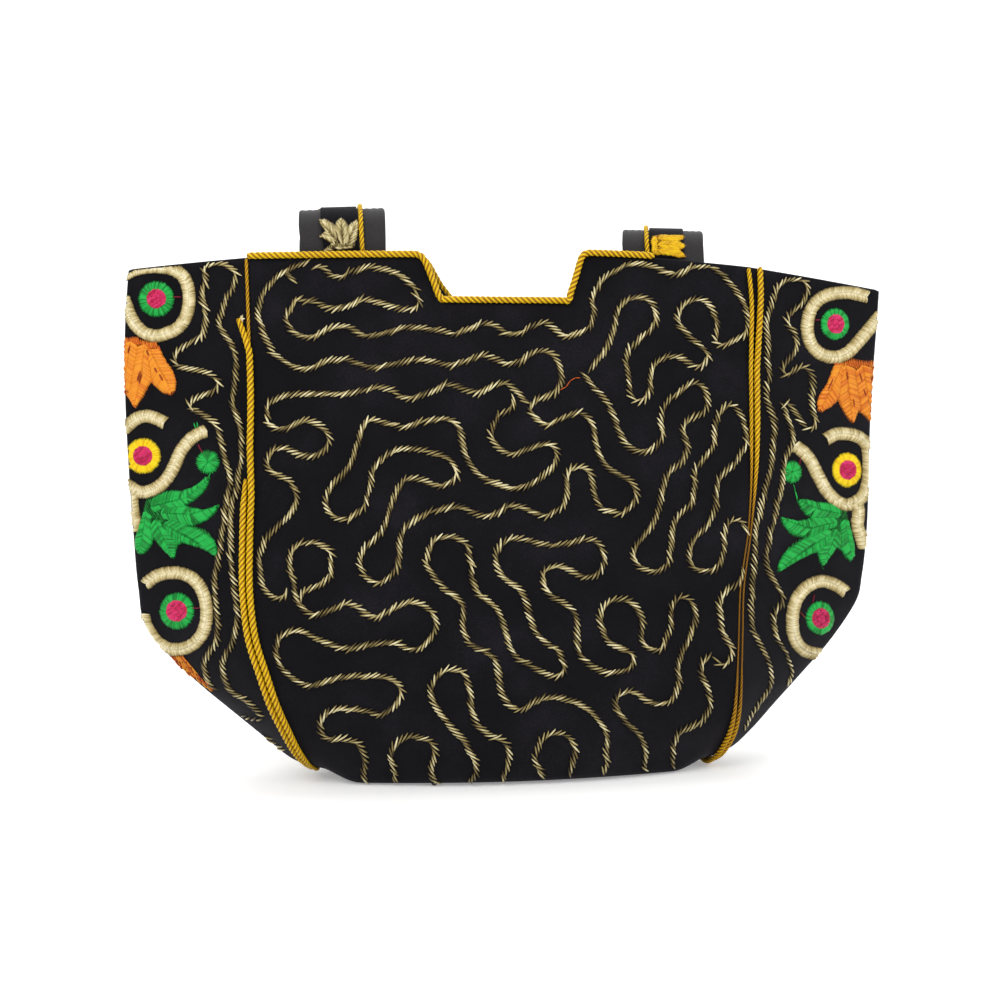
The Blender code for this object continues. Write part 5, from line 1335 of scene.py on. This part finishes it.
def sew(name, stitches, thread, nodes=(), sway=0.0, unevenness=0.0, seed=1, strand=None):
    """A piece made of stitches, each (middle, direction, outward, (length, width, height), tone) in millimetres."""
    mesh = bpy.data.meshes.new(name)
    middle, lie, upward, size, tone = (np.array(part, np.float32) for part in zip(*stitches))
    mesh.from_pydata((middle * MM).tolist(), [], [])
    for key, values in (("lie", lie), ("upward", upward), ("size", size * MM)):
        mesh.attributes.new(key, "FLOAT_VECTOR", "POINT").data.foreach_set("vector", values.ravel())
    mesh.attributes.new("tone", "FLOAT", "POINT").data.foreach_set("value", tone)
    holder = bpy.data.objects.new(name + "_places", mesh)
    bpy.context.scene.collection.objects.link(holder)
    modifier = holder.modifiers.new("stitches", "NODES")
    modifier.node_group = STITCHING
    keys = {item.name: item.identifier for item in STITCHING.interface.items_tree if item.in_out == "INPUT"}
    for key, value in zip(TREE_INPUTS, (strand or short_strand, thread, sway, unevenness, seed)):
        modifier[keys[key]] = value
    bpy.context.view_layer.update()
    depsgraph = bpy.context.evaluated_depsgraph_get()
    result = bpy.data.meshes.new_from_object(holder.evaluated_get(depsgraph))
    result.name = name
    made = bpy.data.objects.new(name, result)
    bpy.context.scene.collection.objects.link(made)
    bpy.data.objects.remove(holder)
    result.shade_smooth()
    if nodes:
        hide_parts(*nodes)
    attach(made, "root")
    STITCH_COUNT[name] = len(stitches)
    return made


# %% [markdown]
# A stitch is known by its two ends in the picture. Both ends are carried to the cloth, and the stitch lies
# over the straight line between them, lifted clear of the cloth under its middle. On a side panel the same
# stitch is also laid across the crease, because the motifs run round it.

# %% From the picture to a stitch
SEWN_SINK, SHORTEST_STITCH, LONGEST_STITCH, OVERLAP = 0.1, 0.2, 7.5, 1.1
TRIES, PULLED_IN = 4, 0.3  # an end that misses the cloth is drawn in by this share, this often


def stitch(a, b, width, height, tone, lift=0.0, mirrored=False):
    """A stitch between two picture points, or None where a point misses the cloth."""
    a, b = np.array(a, float), np.array(b, float)
    for _ in range(TRIES):
        found = [seen(*a), seen(*b), seen(*((a + b) / 2))]
        missed = [f is None or (found[2] is not None and f[2] != found[2][2]) for f in found[:2]]
        if found[2] is not None and not any(missed):
            break
        a, b = (a + (b - a) * PULLED_IN if missed[0] else a), (b + (a - b) * PULLED_IN if missed[1] else b)
    if None in found or len({f[2] for f in found}) > 1 or (mirrored and found[0][2] == "body"):
        return None
    (pa, _), (pb, _), (pm, normal) = (place_of(f, mirrored) for f in found)
    length = float(np.linalg.norm(pb - pa))
    if length > 3 * LONGEST_STITCH or length < SHORTEST_STITCH:
        return None
    kept = min(length, LONGEST_STITCH)
    middle = (pa + pb) / 2
    proud = max(0.0, float((pm - middle) @ normal))
    middle = middle + normal * (proud + lift + height * 0.5 - SEWN_SINK)
    return middle, (pb - pa) / length, normal, (kept * OVERLAP, width, height), tone


# %% [markdown]
# On the front the gold is a slanted stem stitch: short strands, each set about a third of a right angle off
# the line and overlapping the next, like the lay of a rope. Their tips catch the light.

# %% Gold runs
GOLD_STEP, GOLD_LONG, GOLD_SLANT, GOLD_SWING = 5.0, 12.5, math.radians(30), 0.12  # lengths in picture pixels
GOLD_WIDE, GOLD_HIGH, GOLD_LIFT = 1.0, 1.05, 0.15
chance = random.Random(7)


def gold_stitches(line, mirrored=False):
    """Slanted stitches along a run given in picture pixels."""
    run = smooth_line([(x, y, 0.0) for x, y in line], 1.0)[:, :2]
    made = []
    steps = int(len(run) / GOLD_STEP)
    for n in range(steps):
        at = (n + 0.5) * (len(run) - 1) / steps
        i = int(at)
        x, y = run[i]
        ahead, behind = run[min(len(run) - 1, i + 3)], run[max(0, i - 3)]
        angle = math.atan2(-(ahead[1] - behind[1]), ahead[0] - behind[0]) + GOLD_SLANT
        angle += chance.uniform(-GOLD_SWING, GOLD_SWING)
        half = 0.5 * GOLD_LONG * chance.uniform(0.86, 1.1)
        dx, dy = half * math.cos(angle), -half * math.sin(angle)
        for side in ((False, True) if mirrored else (False,)):
            ends = (x - dx, y - dy), (x + dx, y + dy)
            found = stitch(*ends, GOLD_WIDE, GOLD_HIGH, chance.random(), GOLD_LIFT * (n % 2), side)
            if found:
                made.append(found)
    return made


front_gold = [s for line in FRONT_RUNS.values() for s in gold_stitches(line)]
side_gold = [s for line in SIDE_RUNS.values() for s in gold_stitches(line, True)]
print(len(front_gold), "gold stitches on the front,", len(side_gold), "on the sides")

# %% Sew the gold
front_nodes = ["gold_run_" + part for part in (
    "outer", "chain", "third", "upper", "low_left", "right", "right_low", "right_foot", "middle", "foot_left",
    "foot_middle", "foot_right")]
side_nodes = ["gold_run_left_panel", "gold_run_right_panel", "gold_run_right_panel_low"]
for name, stitches, nodes, seed in (
        ("gold_runs_front", front_gold, front_nodes, 3), ("gold_runs_sides", side_gold, side_nodes, 5)):
    sew(name, stitches, gold, nodes, 0.08, 0.14, seed, long_strand)
    print(name, STITCH_COUNT[name], "stitches")

# %% [markdown]
# The side panels carry bright satin motifs: cream scrolls, rings with magenta hearts, an orange flower and a
# green leaf. A scroll is two rows of short stitches that meet along its middle. A ring is stitched from its
# heart outwards. A filled shape is crossed by parallel threads, and a leaf by threads that slant from the
# vein of each lobe, so the light changes from lobe to lobe.

# %% Scrolls and rings
SCROLL_TAPER, RING_COUNT = 0.3, 70


def scroll(line, width, step=1.05, start=1.0):
    """Stitch ends for a band: pairs that run from its two edges to its middle. start is its first width's share."""
    run = smooth_line([(x, y, 0.0) for x, y in line], step)[:, :2]
    made = []
    for i, at in enumerate(run):
        t = unit(run[min(len(run) - 1, i + 4)] - run[max(0, i - 4)])
        side = np.array([-t[1], t[0]])
        share = start + (1.0 - start) * ease(i / len(run) / SCROLL_TAPER)
        for way in (-1.0, 1.0):
            reach = width / 2 * share * chance.uniform(0.97, 1.03)
            made.append((at + side * way * reach - t * 0.6, at - side * way * 0.3 + t * 1.2))
    return made


def ring(centre, radii, heart, count=RING_COUNT):
    """Radial stitch ends between an inner and an outer oval."""
    made = []
    for n in range(count):
        a = 2 * math.pi * (n + chance.uniform(-0.1, 0.1)) / count
        b = a + 0.06
        reach = chance.uniform(0.98, 1.02)
        made.append(((centre[0] + heart[0] * 0.92 * math.cos(a), centre[1] + heart[1] * 0.92 * math.sin(a)),
            (centre[0] + radii[0] * reach * math.cos(b), centre[1] + radii[1] * reach * math.sin(b))))
    return made


def oval(centre, radii, count=28):
    """An oval outline in picture pixels."""
    turns = [2 * math.pi * n / count for n in range(count)]
    return [(centre[0] + radii[0] * math.cos(a), centre[1] + radii[1] * math.sin(a)) for a in turns]


print("a ring has", RING_COUNT, "stitches")

# %% Filled shapes and leaves


def inside(shape, x, y):
    """Whether a picture pixel lies in a closed outline."""
    odd = False
    for (ax, ay), (bx, by) in zip(shape, shape[1:] + shape[:1]):
        if (ay > y) != (by > y) and x < (bx - ax) * (y - ay) / (by - ay) + ax:
            odd = not odd
    return odd


def hatched(shape, angle, spacing=1.5, longest=11.0):
    """Parallel stitch ends that fill a shape, the long lines split into bricks."""
    c, s = math.cos(math.radians(angle)), -math.sin(math.radians(angle))
    turned = [(x * c + y * s, -x * s + y * c) for x, y in shape]
    made = []
    level = min(v for _, v in turned) + spacing / 2
    while level < max(v for _, v in turned):
        edges = [(a, b) for a, b in zip(turned, turned[1:] + turned[:1]) if (a[1] > level) != (b[1] > level)]
        cuts = sorted(ax + (bx - ax) * (level - ay) / (by - ay) for (ax, ay), (bx, by) in edges)
        for a, b in zip(cuts[::2], cuts[1::2]):
            pieces = max(1, int(math.ceil((b - a) / longest)))
            breaks = [a + (b - a) * (k + chance.uniform(-0.3, 0.3)) / pieces for k in range(1, pieces)]
            marks = [a - 0.3] + breaks + [b + 0.3]
            for u, w in zip(marks, marks[1:]):
                ends = (u, w + 0.8)
                made.append(tuple((end * c - level * s, end * s + level * c) for end in ends))
        level += spacing * chance.uniform(0.9, 1.1)
    return made


def leaf(shape, veins, spacing=1.7, longest=17.0, slant=0.55):
    """Stitch ends that slant from the vein of each lobe to the shape's edge."""
    starts, ends = np.array([v[0] for v in veins], float), np.array([v[1] for v in veins], float)
    runs = ends - starts

    def nearest(p):
        t = np.clip(((p - starts) * runs).sum(1) / (runs ** 2).sum(1), 0, 1)
        return int(np.argmin(np.linalg.norm(starts + runs * t[:, None] - p, axis=1)))

    made = []
    for k, (start, run) in enumerate(zip(starts, runs)):
        length = np.linalg.norm(run)
        t = run / length
        side = np.array([-t[1], t[0]])
        for d in np.arange(0, length, spacing):
            for way in (-1.0, 1.0):
                heading = unit(t * slant + side * way)
                at = start + t * d
                reach = 0.0
                while reach < longest and inside(shape, *(at + heading * (reach + 0.5))):
                    if reach >= 1.5 and nearest(at + heading * reach) != k:
                        break
                    reach += 0.5
                if reach > 1.0:
                    made.append((at - heading * 0.6, at + heading * (reach + 0.4)))
    return made


# %% [markdown]
# Each way of stitching has its own thread thickness, height over the cloth and range of tones. A motif's
# stitches are collected by colour on both halves of a side panel, because one colour becomes one piece.

# %% Motifs on both halves of a panel
LAID = {  # width, height and lift in millimetres, range of tones
    "scroll": (0.95, 0.9, 0.25, (0.0, 1.0)),
    "ring": (0.95, 0.8, 0.0, (0.0, 1.0)),
    "heart": (0.95, 0.85, 0.25, (0.0, 1.0)),
    "dark_stem": (0.6, 0.6, 0.2, (-0.8, -0.5)),
    "flower_base": (1.0, 0.7, 0.0, (0.1, 0.5)),
    "left_petal": (1.05, 0.8, 0.35, (0.35, 1.0)),
    "right_petal": (1.05, 0.8, 0.35, (0.2, 0.9)),
    "dash": (0.9, 0.9, 0.7, (-0.35, -0.2)),
    "low_flower": (1.0, 0.9, 0.0, (0.0, 1.0)),
    "loose_end": (0.6, 0.6, 0.0, (-0.9, -0.8)),
    "leaf_base": (1.0, 0.6, 0.0, (-0.2, 0.2)),
    "leaf_lobe": (1.0, 0.8, 0.3, (0.0, 1.0)),
    "dot": (0.95, 0.9, 0.0, (0.0, 1.0)),
    "left_dot_stem": (0.6, 0.5, 0.0, (0.0, 1.0)),
    "right_dot_stem": (0.8, 0.7, 0.0, (0.0, 1.0)),
}
SCROLL_WIDE, TAPERED_START, HEART_OVER = 12.5, 0.4, 0.5
MOTIFS = {}


def motif(colour, pairs, laid):
    """Adds stitches of a colour on both halves of a side panel."""
    width, height, lift, tones = LAID[laid]
    for a, b in pairs:
        for mirrored in (False, True):
            found = stitch(tuple(a), tuple(b), width, height, chance.uniform(*tones), lift, mirrored)
            if found:
                MOTIFS.setdefault(colour, []).append(found)


def embroider(side, work):
    """All motifs of one side panel, in the order in which they are sewn."""
    for name, line in work["scrolls"].items():
        start = TAPERED_START if name == work["tapered"] else 1.0
        motif("cream", scroll(line, SCROLL_WIDE, start=start), "scroll")
    for colour, oval_ring in work["rings"].items():
        motif(colour, ring(*oval_ring), "ring")
    for centre, _, (wide, high) in work["rings"].values():
        heart = oval(centre, (wide + HEART_OVER, high + HEART_OVER))
        motif("magenta", hatched(heart, 35, 1.6, 6.0), "heart")
    motif("magenta", work["stems"], "dark_stem")
    motif("orange", hatched(work["flower"], work["flower_angle"], 1.7, 9.0), "flower_base")
    motif("orange", leaf(work["flower"], work["petals"], 1.35, 14.0), side + "_petal")
    motif("orange", work["dashes"], "dash")
    if "low_flower" in work:
        motif("orange", hatched(work["low_flower"], -50, 1.7, 8.0), "low_flower")
    motif("orange", work["loose_end"], "loose_end")
    motif("leaf", hatched(work["leaf"], work["leaf_angle"], 1.8, 9.0), "leaf_base")
    motif("leaf", leaf(work["leaf"], work["lobes"], 1.4), "leaf_lobe")
    motif("dot", ring(*work["dot"]), "dot")
    motif("dot", work["dot_stems"], side + "_dot_stem")


print(len(LAID), "ways to lay a thread")

# %% [markdown]
# The motifs are written in picture pixels. A scroll is its middle line, a ring its middle, its outer and its
# inner radii, and a flower or leaf its outline with the lines of its petals or lobes.

# %% Left side motifs
LEFT_WORK = {
    "scrolls": {
        "top": pixels("""126,279 132,275 139,272 147,270 156,268.5 165,268.5 174,270 181,274 186,281 189,292 189,305
186,317 179,327 168,333 156,336 145,333 136,325 130,315 127,306 124,298"""),
        "arc": pixels("""165,423 155,418 145,416 136,419 129,425 122,431"""),
        "curve": pixels("""122,481 131,487 139,492 150,491 161,485 169,476 175,465 180,453 187,443 196,435 206,431"""),
        "tail": pixels("""132,492 133,508 135,520 134,530"""),
        "low": pixels("""146,584 152,579 159,575 168,573 180,573 191,577 200,586 205,598 207,611 206,624 201,636
192,645 180,649 168,648 158,642 151,633 146,624 144,615""")},
    "tapered": "top",
    "rings": {
        "green": ((156.5, 299), (17.5, 17.5), (9, 9)),
        "yellow": ((143, 456), (17.5, 17.5), (9, 9)),
        "green_low": ((177, 611), (17, 18), (10, 10))},
    "stems": [((173, 297), (181, 297)), ((198, 444), (203, 453)), ((193, 608), (200, 608))],
    "flower": pixels("""120,338 126,338 137,337 141,340 150,342 157,341 160,350 166,361 172,370 176,380 175,390
171,394 163,392 156,386 151,381 147,388 141,399 135,408 131,401 127,394 120,390"""),
    "flower_angle": -72,
    "petals": [((146, 345), (136, 404)), ((150, 350), (172, 391)), ((131, 342), (124, 386))],
    "dashes": [
        ((141, 371), (138, 382)), ((143, 373), (140, 384)), ((155, 367), (158, 373)), ((160, 374), (164, 381)),
        ((147, 350), (150, 356)), ((131, 346), (129, 353))],
    "low_flower": pixels("""160,655 170,656 183,655 190,664 200,675 210,684 215,692 208,688 195,678 183,670 175,662"""),
    "loose_end": [],
    "leaf": pixels("""146,500 155,497 163,493 172,491 182,491 192,488 200,483 206,477 210,477 207,486 201,494 192,501
184,505 193,508 204,510 213,507 220,504 214,513 206,520 196,524 186,526 196,527 206,530 213,538 217,548 217,558
211,553 203,548 192,545 182,542 177,545 175,556 172,558 166,552 160,545 154,537 151,545 145,552 139,554 136,548
136,538 139,527 143,515 145,507"""),
    "leaf_angle": -60,
    "lobes": [
        ((152, 507), (186, 498)), ((186, 498), (209, 479)), ((162, 513), (190, 514)),
        ((190, 514), (217, 507)), ((165, 524), (216, 556)), ((156, 520), (173, 557)),
        ((147, 512), (140, 552))],
    "dot": ((208, 462), (11.5, 11.5), (1.2, 1.2), 40),
    "dot_stems": [((211, 472), (208, 479)), ((194, 423), (196, 429)), ((197, 422), (198, 428))],
}
embroider("left", LEFT_WORK)
print({colour: len(stitches) for colour, stitches in MOTIFS.items()})

# %% Right side motifs
RIGHT_WORK = {
    "scrolls": {
        "top": pixels("""867,297 860,295 852,293 838,293 825,296 815,303 809,314 807,327 809,340 815,350 825,356
837,357 847,353 855,345 864,335 872,325 877,319 884,310"""),
        "middle": pixels("""826,439 836,434 848,434 858,437 866,444 868,455 868,470 867,485 863,495 855,502 846,505
838,502 830,495 824,487 819,478 814,468 809,459 802,451 795,446"""),
        "tail": pixels("""857,503 858,515 857,525 860,535 864,547"""),
        "low": pixels("""845,592 839,587 831,583 822,581 811,584 802,591 796,600 793,611 792,622 793,633 797,643
804,650 812,653 820,654""")},
    "tapered": None,
    "rings": {
        "green": ((835, 324), (14, 15.5), (8, 9)),
        "yellow": ((847, 470), (14.5, 17), (8, 9)),
        "green_low": ((820, 618), (14, 16.5), (8.5, 9.5))},
    "stems": [
        ((814, 320), (820, 320)), ((861, 471), (867, 471)), ((800, 457), (799, 465)), ((814, 594), (812, 603))],
    "flower": pixels("""834,361 843,362 852,359 862,361 880,361 880,375 878,390 876,405 870,421 865,415 858,410
853,423 847,416 840,404 838,399 831,406 822,411 818,410 817,402 820,394 826,385 830,376 833,367"""),
    "flower_angle": -105,
    "petals": [((841, 366), (820, 409)), ((845, 366), (852, 421)), ((862, 366), (872, 418))],
    "dashes": [
        ((845, 371), (847, 380)), ((832, 378), (828, 388)), ((830, 382), (827, 390)), ((858, 372), (861, 382)),
        ((862, 388), (865, 397)), ((852, 398), (853, 407))],
    "loose_end": [((800, 612), (805, 618))],
    "leaf": pixels("""797,500 805,499 815,502 825,503 832,504 840,510 846,509 848,520 851,532 854,545 854,555 851,561
846,557 842,550 837,547 832,553 827,560 823,568 820,560 817,551 808,555 798,560 788,566 780,571 777,570 779,562
784,553 790,546 797,541 803,537 797,536 790,533 784,525 780,517 788,519 797,521 806,520 812,517 806,514 801,508"""),
    "leaf_angle": -120,
    "lobes": [
        ((840, 514), (815, 508)), ((815, 508), (799, 501)), ((836, 522), (810, 528)),
        ((810, 528), (782, 519)), ((832, 532), (779, 569)), ((836, 530), (823, 566)),
        ((844, 520), (852, 559))],
    "dot": ((792, 472), (9.5, 11), (1.2, 1.4), 38),
    "dot_stems": [((793, 484), (795, 492)), ((795, 491), (797, 500))],
}
embroider("right", RIGHT_WORK)
print({colour: len(stitches) for colour, stitches in MOTIFS.items()})

# %% [markdown]
# Each colour of each kind of motif is sewn as one piece, which stands in for the flat bodies of the CAD frame.

# %% Sew the motifs
sides = ("left", "right")
SEWN = {
    "cream": ("cream_scrolls", cream, "cream_thread", [
        "left_cream_top", "left_cream_middle", "left_cream_curve", "left_cream_low", "right_cream_top",
        "right_cream_middle", "right_cream_tail", "right_cream_low"]),
    "green": ("top_rings", green, "green_thread", [s + "_top_round" for s in sides]),
    "yellow": ("middle_rings", yellow, "yellow_thread", [s + "_middle_round" for s in sides]),
    "green_low": ("low_rings", green, "green_thread", [s + "_low_round" for s in sides]),
    "magenta": ("ring_hearts", magenta, "magenta_thread", [
        s + "_" + p + "_round_centre" for s in sides for p in ("top", "middle", "low")]),
    "orange": ("orange_flowers", orange, "orange_thread", [
        "left_orange_flower", "left_orange_low", "right_orange_flower"]),
    "leaf": ("green_leaves", green, "green_thread", [s + "_green_leaves" for s in sides]),
    "dot": ("green_dots", green, "green_thread", [s + "_green_dot" for s in sides]),
}
for colour, (name, thread, slot, nodes) in SEWN.items():
    sew(name, MOTIFS[colour], thread, nodes, 0.02, 0.08, 11)
print(len(SEWN), "pieces of satin stitch")

# %% [markdown]
# The velvet ribbon on each handle carries a small crown of leaves, cream on the left leg and yellow on the
# right one, and the motif repeats along the strap. It is drawn once from the picture, then laid on the ribbon
# by its distance along the strap and its place across it.

# %% Crowns and leaves
CROWN = pixels("""319,219 325,219 332,223 335,225 336,221 340.5,218 345,222 347,226 351,223 357,219.5 357,227 355,235
353,241 352,246 343,247 333,248 325,250 321,251.5 322,248 328,244 330,241 325,238 318,235 323,232 325,229 321,224
""")
CROWN_VEINS = [
    ((335, 240), (320, 220)), ((333, 243), (320, 235)), ((341, 244), (340.5, 220)),
    ((345, 244), (356, 221)), ((350, 246), (322, 250))]
LEAVES = pixels("""650,237 656,235.5 662,235 668,236 675,235.5 683,236 681,240 676,242 680,244 684,246.5 680,249
676,250 680,253 683.5,258 676,258.5 668,256.5 660,256 652,256 648,252 649,246 648,241""")
LEAF_VEINS = [
    ((655, 240), (682, 237)), ((655, 246), (683, 246.5)), ((655, 251), (682, 257)),
    ((652, 238), (651, 254))]
# colour: outline, veins, picture point on the strap's middle line, which way the picture's right lies on the
# strap, slant of the threads under it, brightness
STRAP_MOTIFS = {
    "cream": (CROWN, CROWN_VEINS, (342.0, 251.0), 1.0, 80, 0.6),
    "yellow": (LEAVES, LEAF_VEINS, (661.5, 259.0), -1.0, 15, -0.1)}
PIXEL_MM, MOTIF_PITCH, MOTIF_LENGTH, FIRST_MOTIF_Z = 0.515, 41.0, 20.0, 271.0


def on_strap(stations, run, along, across, lift):
    """A place on a handle, lifted from its middle, and the direction that its face looks in."""
    k = int(np.clip(np.searchsorted(run, along) - 1, 0, len(run) - 2))
    t = (along - run[k]) / (run[k + 1] - run[k])
    (pa, wa, fa), (pb, wb, fb) = stations[k], stations[k + 1]
    place, width, face = pa + (pb - pa) * t, unit(wa + (wb - wa) * t), unit(fa + (fb - fa) * t)
    return place + width * across + face * lift, face


def strap_stitch(colour, stations, run, ends, start, way, out, lift, tone):
    """A stitch between two picture points, laid on a ribbon so far from the strap's start."""
    _, _, middle_line, facing, _, _ = STRAP_MOTIFS[colour]
    level = out * (STRAP_THICK / 2 + GAP + RIBBON_THICK)
    (pa, fa), (pb, fb) = (
        on_strap(
            stations, run, start + way * ((middle_line[1] - py) * PIXEL_MM), facing * (px - middle_line[0]) * PIXEL_MM,
            level)
        for px, py in ends)
    length = float(np.linalg.norm(pb - pa))
    if length <= 0.3:
        return None
    normal = unit(fa + fb) * out
    middle = (pa + pb) / 2 + normal * (0.2 + lift)
    return middle, (pb - pa) / length, normal, (length * OVERLAP, 0.95, 0.7), tone + chance.uniform(-0.3, 0.3)


strap_stitches = {"cream": [], "yellow": []}
for side, out in (("front", 1.0), ("back", -1.0)):
    stations = HANDLES[side][0]
    run = lengths(stations)
    heights = np.array([s[0][2] for s in stations])
    first = run[int(np.argmax(heights > FIRST_MOTIF_Z))]
    last = run[len(heights) - 1 - int(np.argmax(heights[::-1] > FIRST_MOTIF_Z))]
    for colour, start, way in (("cream", first, 1.0), ("yellow", last, -1.0)):
        shape, veins, _, _, angle, bright = STRAP_MOTIFS[colour]
        place = 0.0
        while place + MOTIF_LENGTH < abs(run[-1] / 2 - start):
            under = [(ends, 0.0, bright - 0.4) for ends in hatched(shape, angle, 1.7, 8.0)]
            over = [(ends, 0.3, bright) for ends in leaf(shape, veins, 1.5, 14.0, 1.6)]
            for ends, lift, tone in under + over:
                made = strap_stitch(colour, stations, run, ends, start + way * place, way, out, lift, tone)
                if made:
                    strap_stitches[colour].append(made)
            place += MOTIF_PITCH
print({colour: len(stitches) for colour, stitches in strap_stitches.items()}, "stitches on the handles")

# %% [markdown]
# Two small things show that this is handwork: an orange thread that was left loose on the front, and the white
# knot at the end of the left cord.

# %% Loose thread, knot and handle motifs
LOOSE_THREAD = pixels("560,390 566,387 570,381 575,378 580,378")
KNOT = [((241, 316), (243, 322)), ((243, 315), (241, 322)), ((239, 319), (245, 319))]
loose = [stitch(a, b, 0.5, 0.5, 0.1, 0.2) for a, b in zip(LOOSE_THREAD, LOOSE_THREAD[1:])]
knot = [stitch(a, b, 1.0, 0.9, 0.9, 0.4) for a, b in KNOT]
sew("loose_orange_thread", [s for s in loose if s], orange, (), 0.0, 0.0, 23)
sew("white_end_knot", [s for s in knot if s], cream, (), 0.0, 0.0, 24)
sew("handle_cream_crowns", strap_stitches["cream"], gold, (), 0.05, 0.1, 21)
sew("handle_yellow_crowns", strap_stitches["yellow"], yellow, (), 0.05, 0.1, 22)
print("stitches", STITCH_COUNT)

# %% [markdown]
# The two strands were only patterns, so they are taken away.

# %% Remove the patterns
for pattern in (long_strand, short_strand):
    bpy.data.objects.remove(pattern)
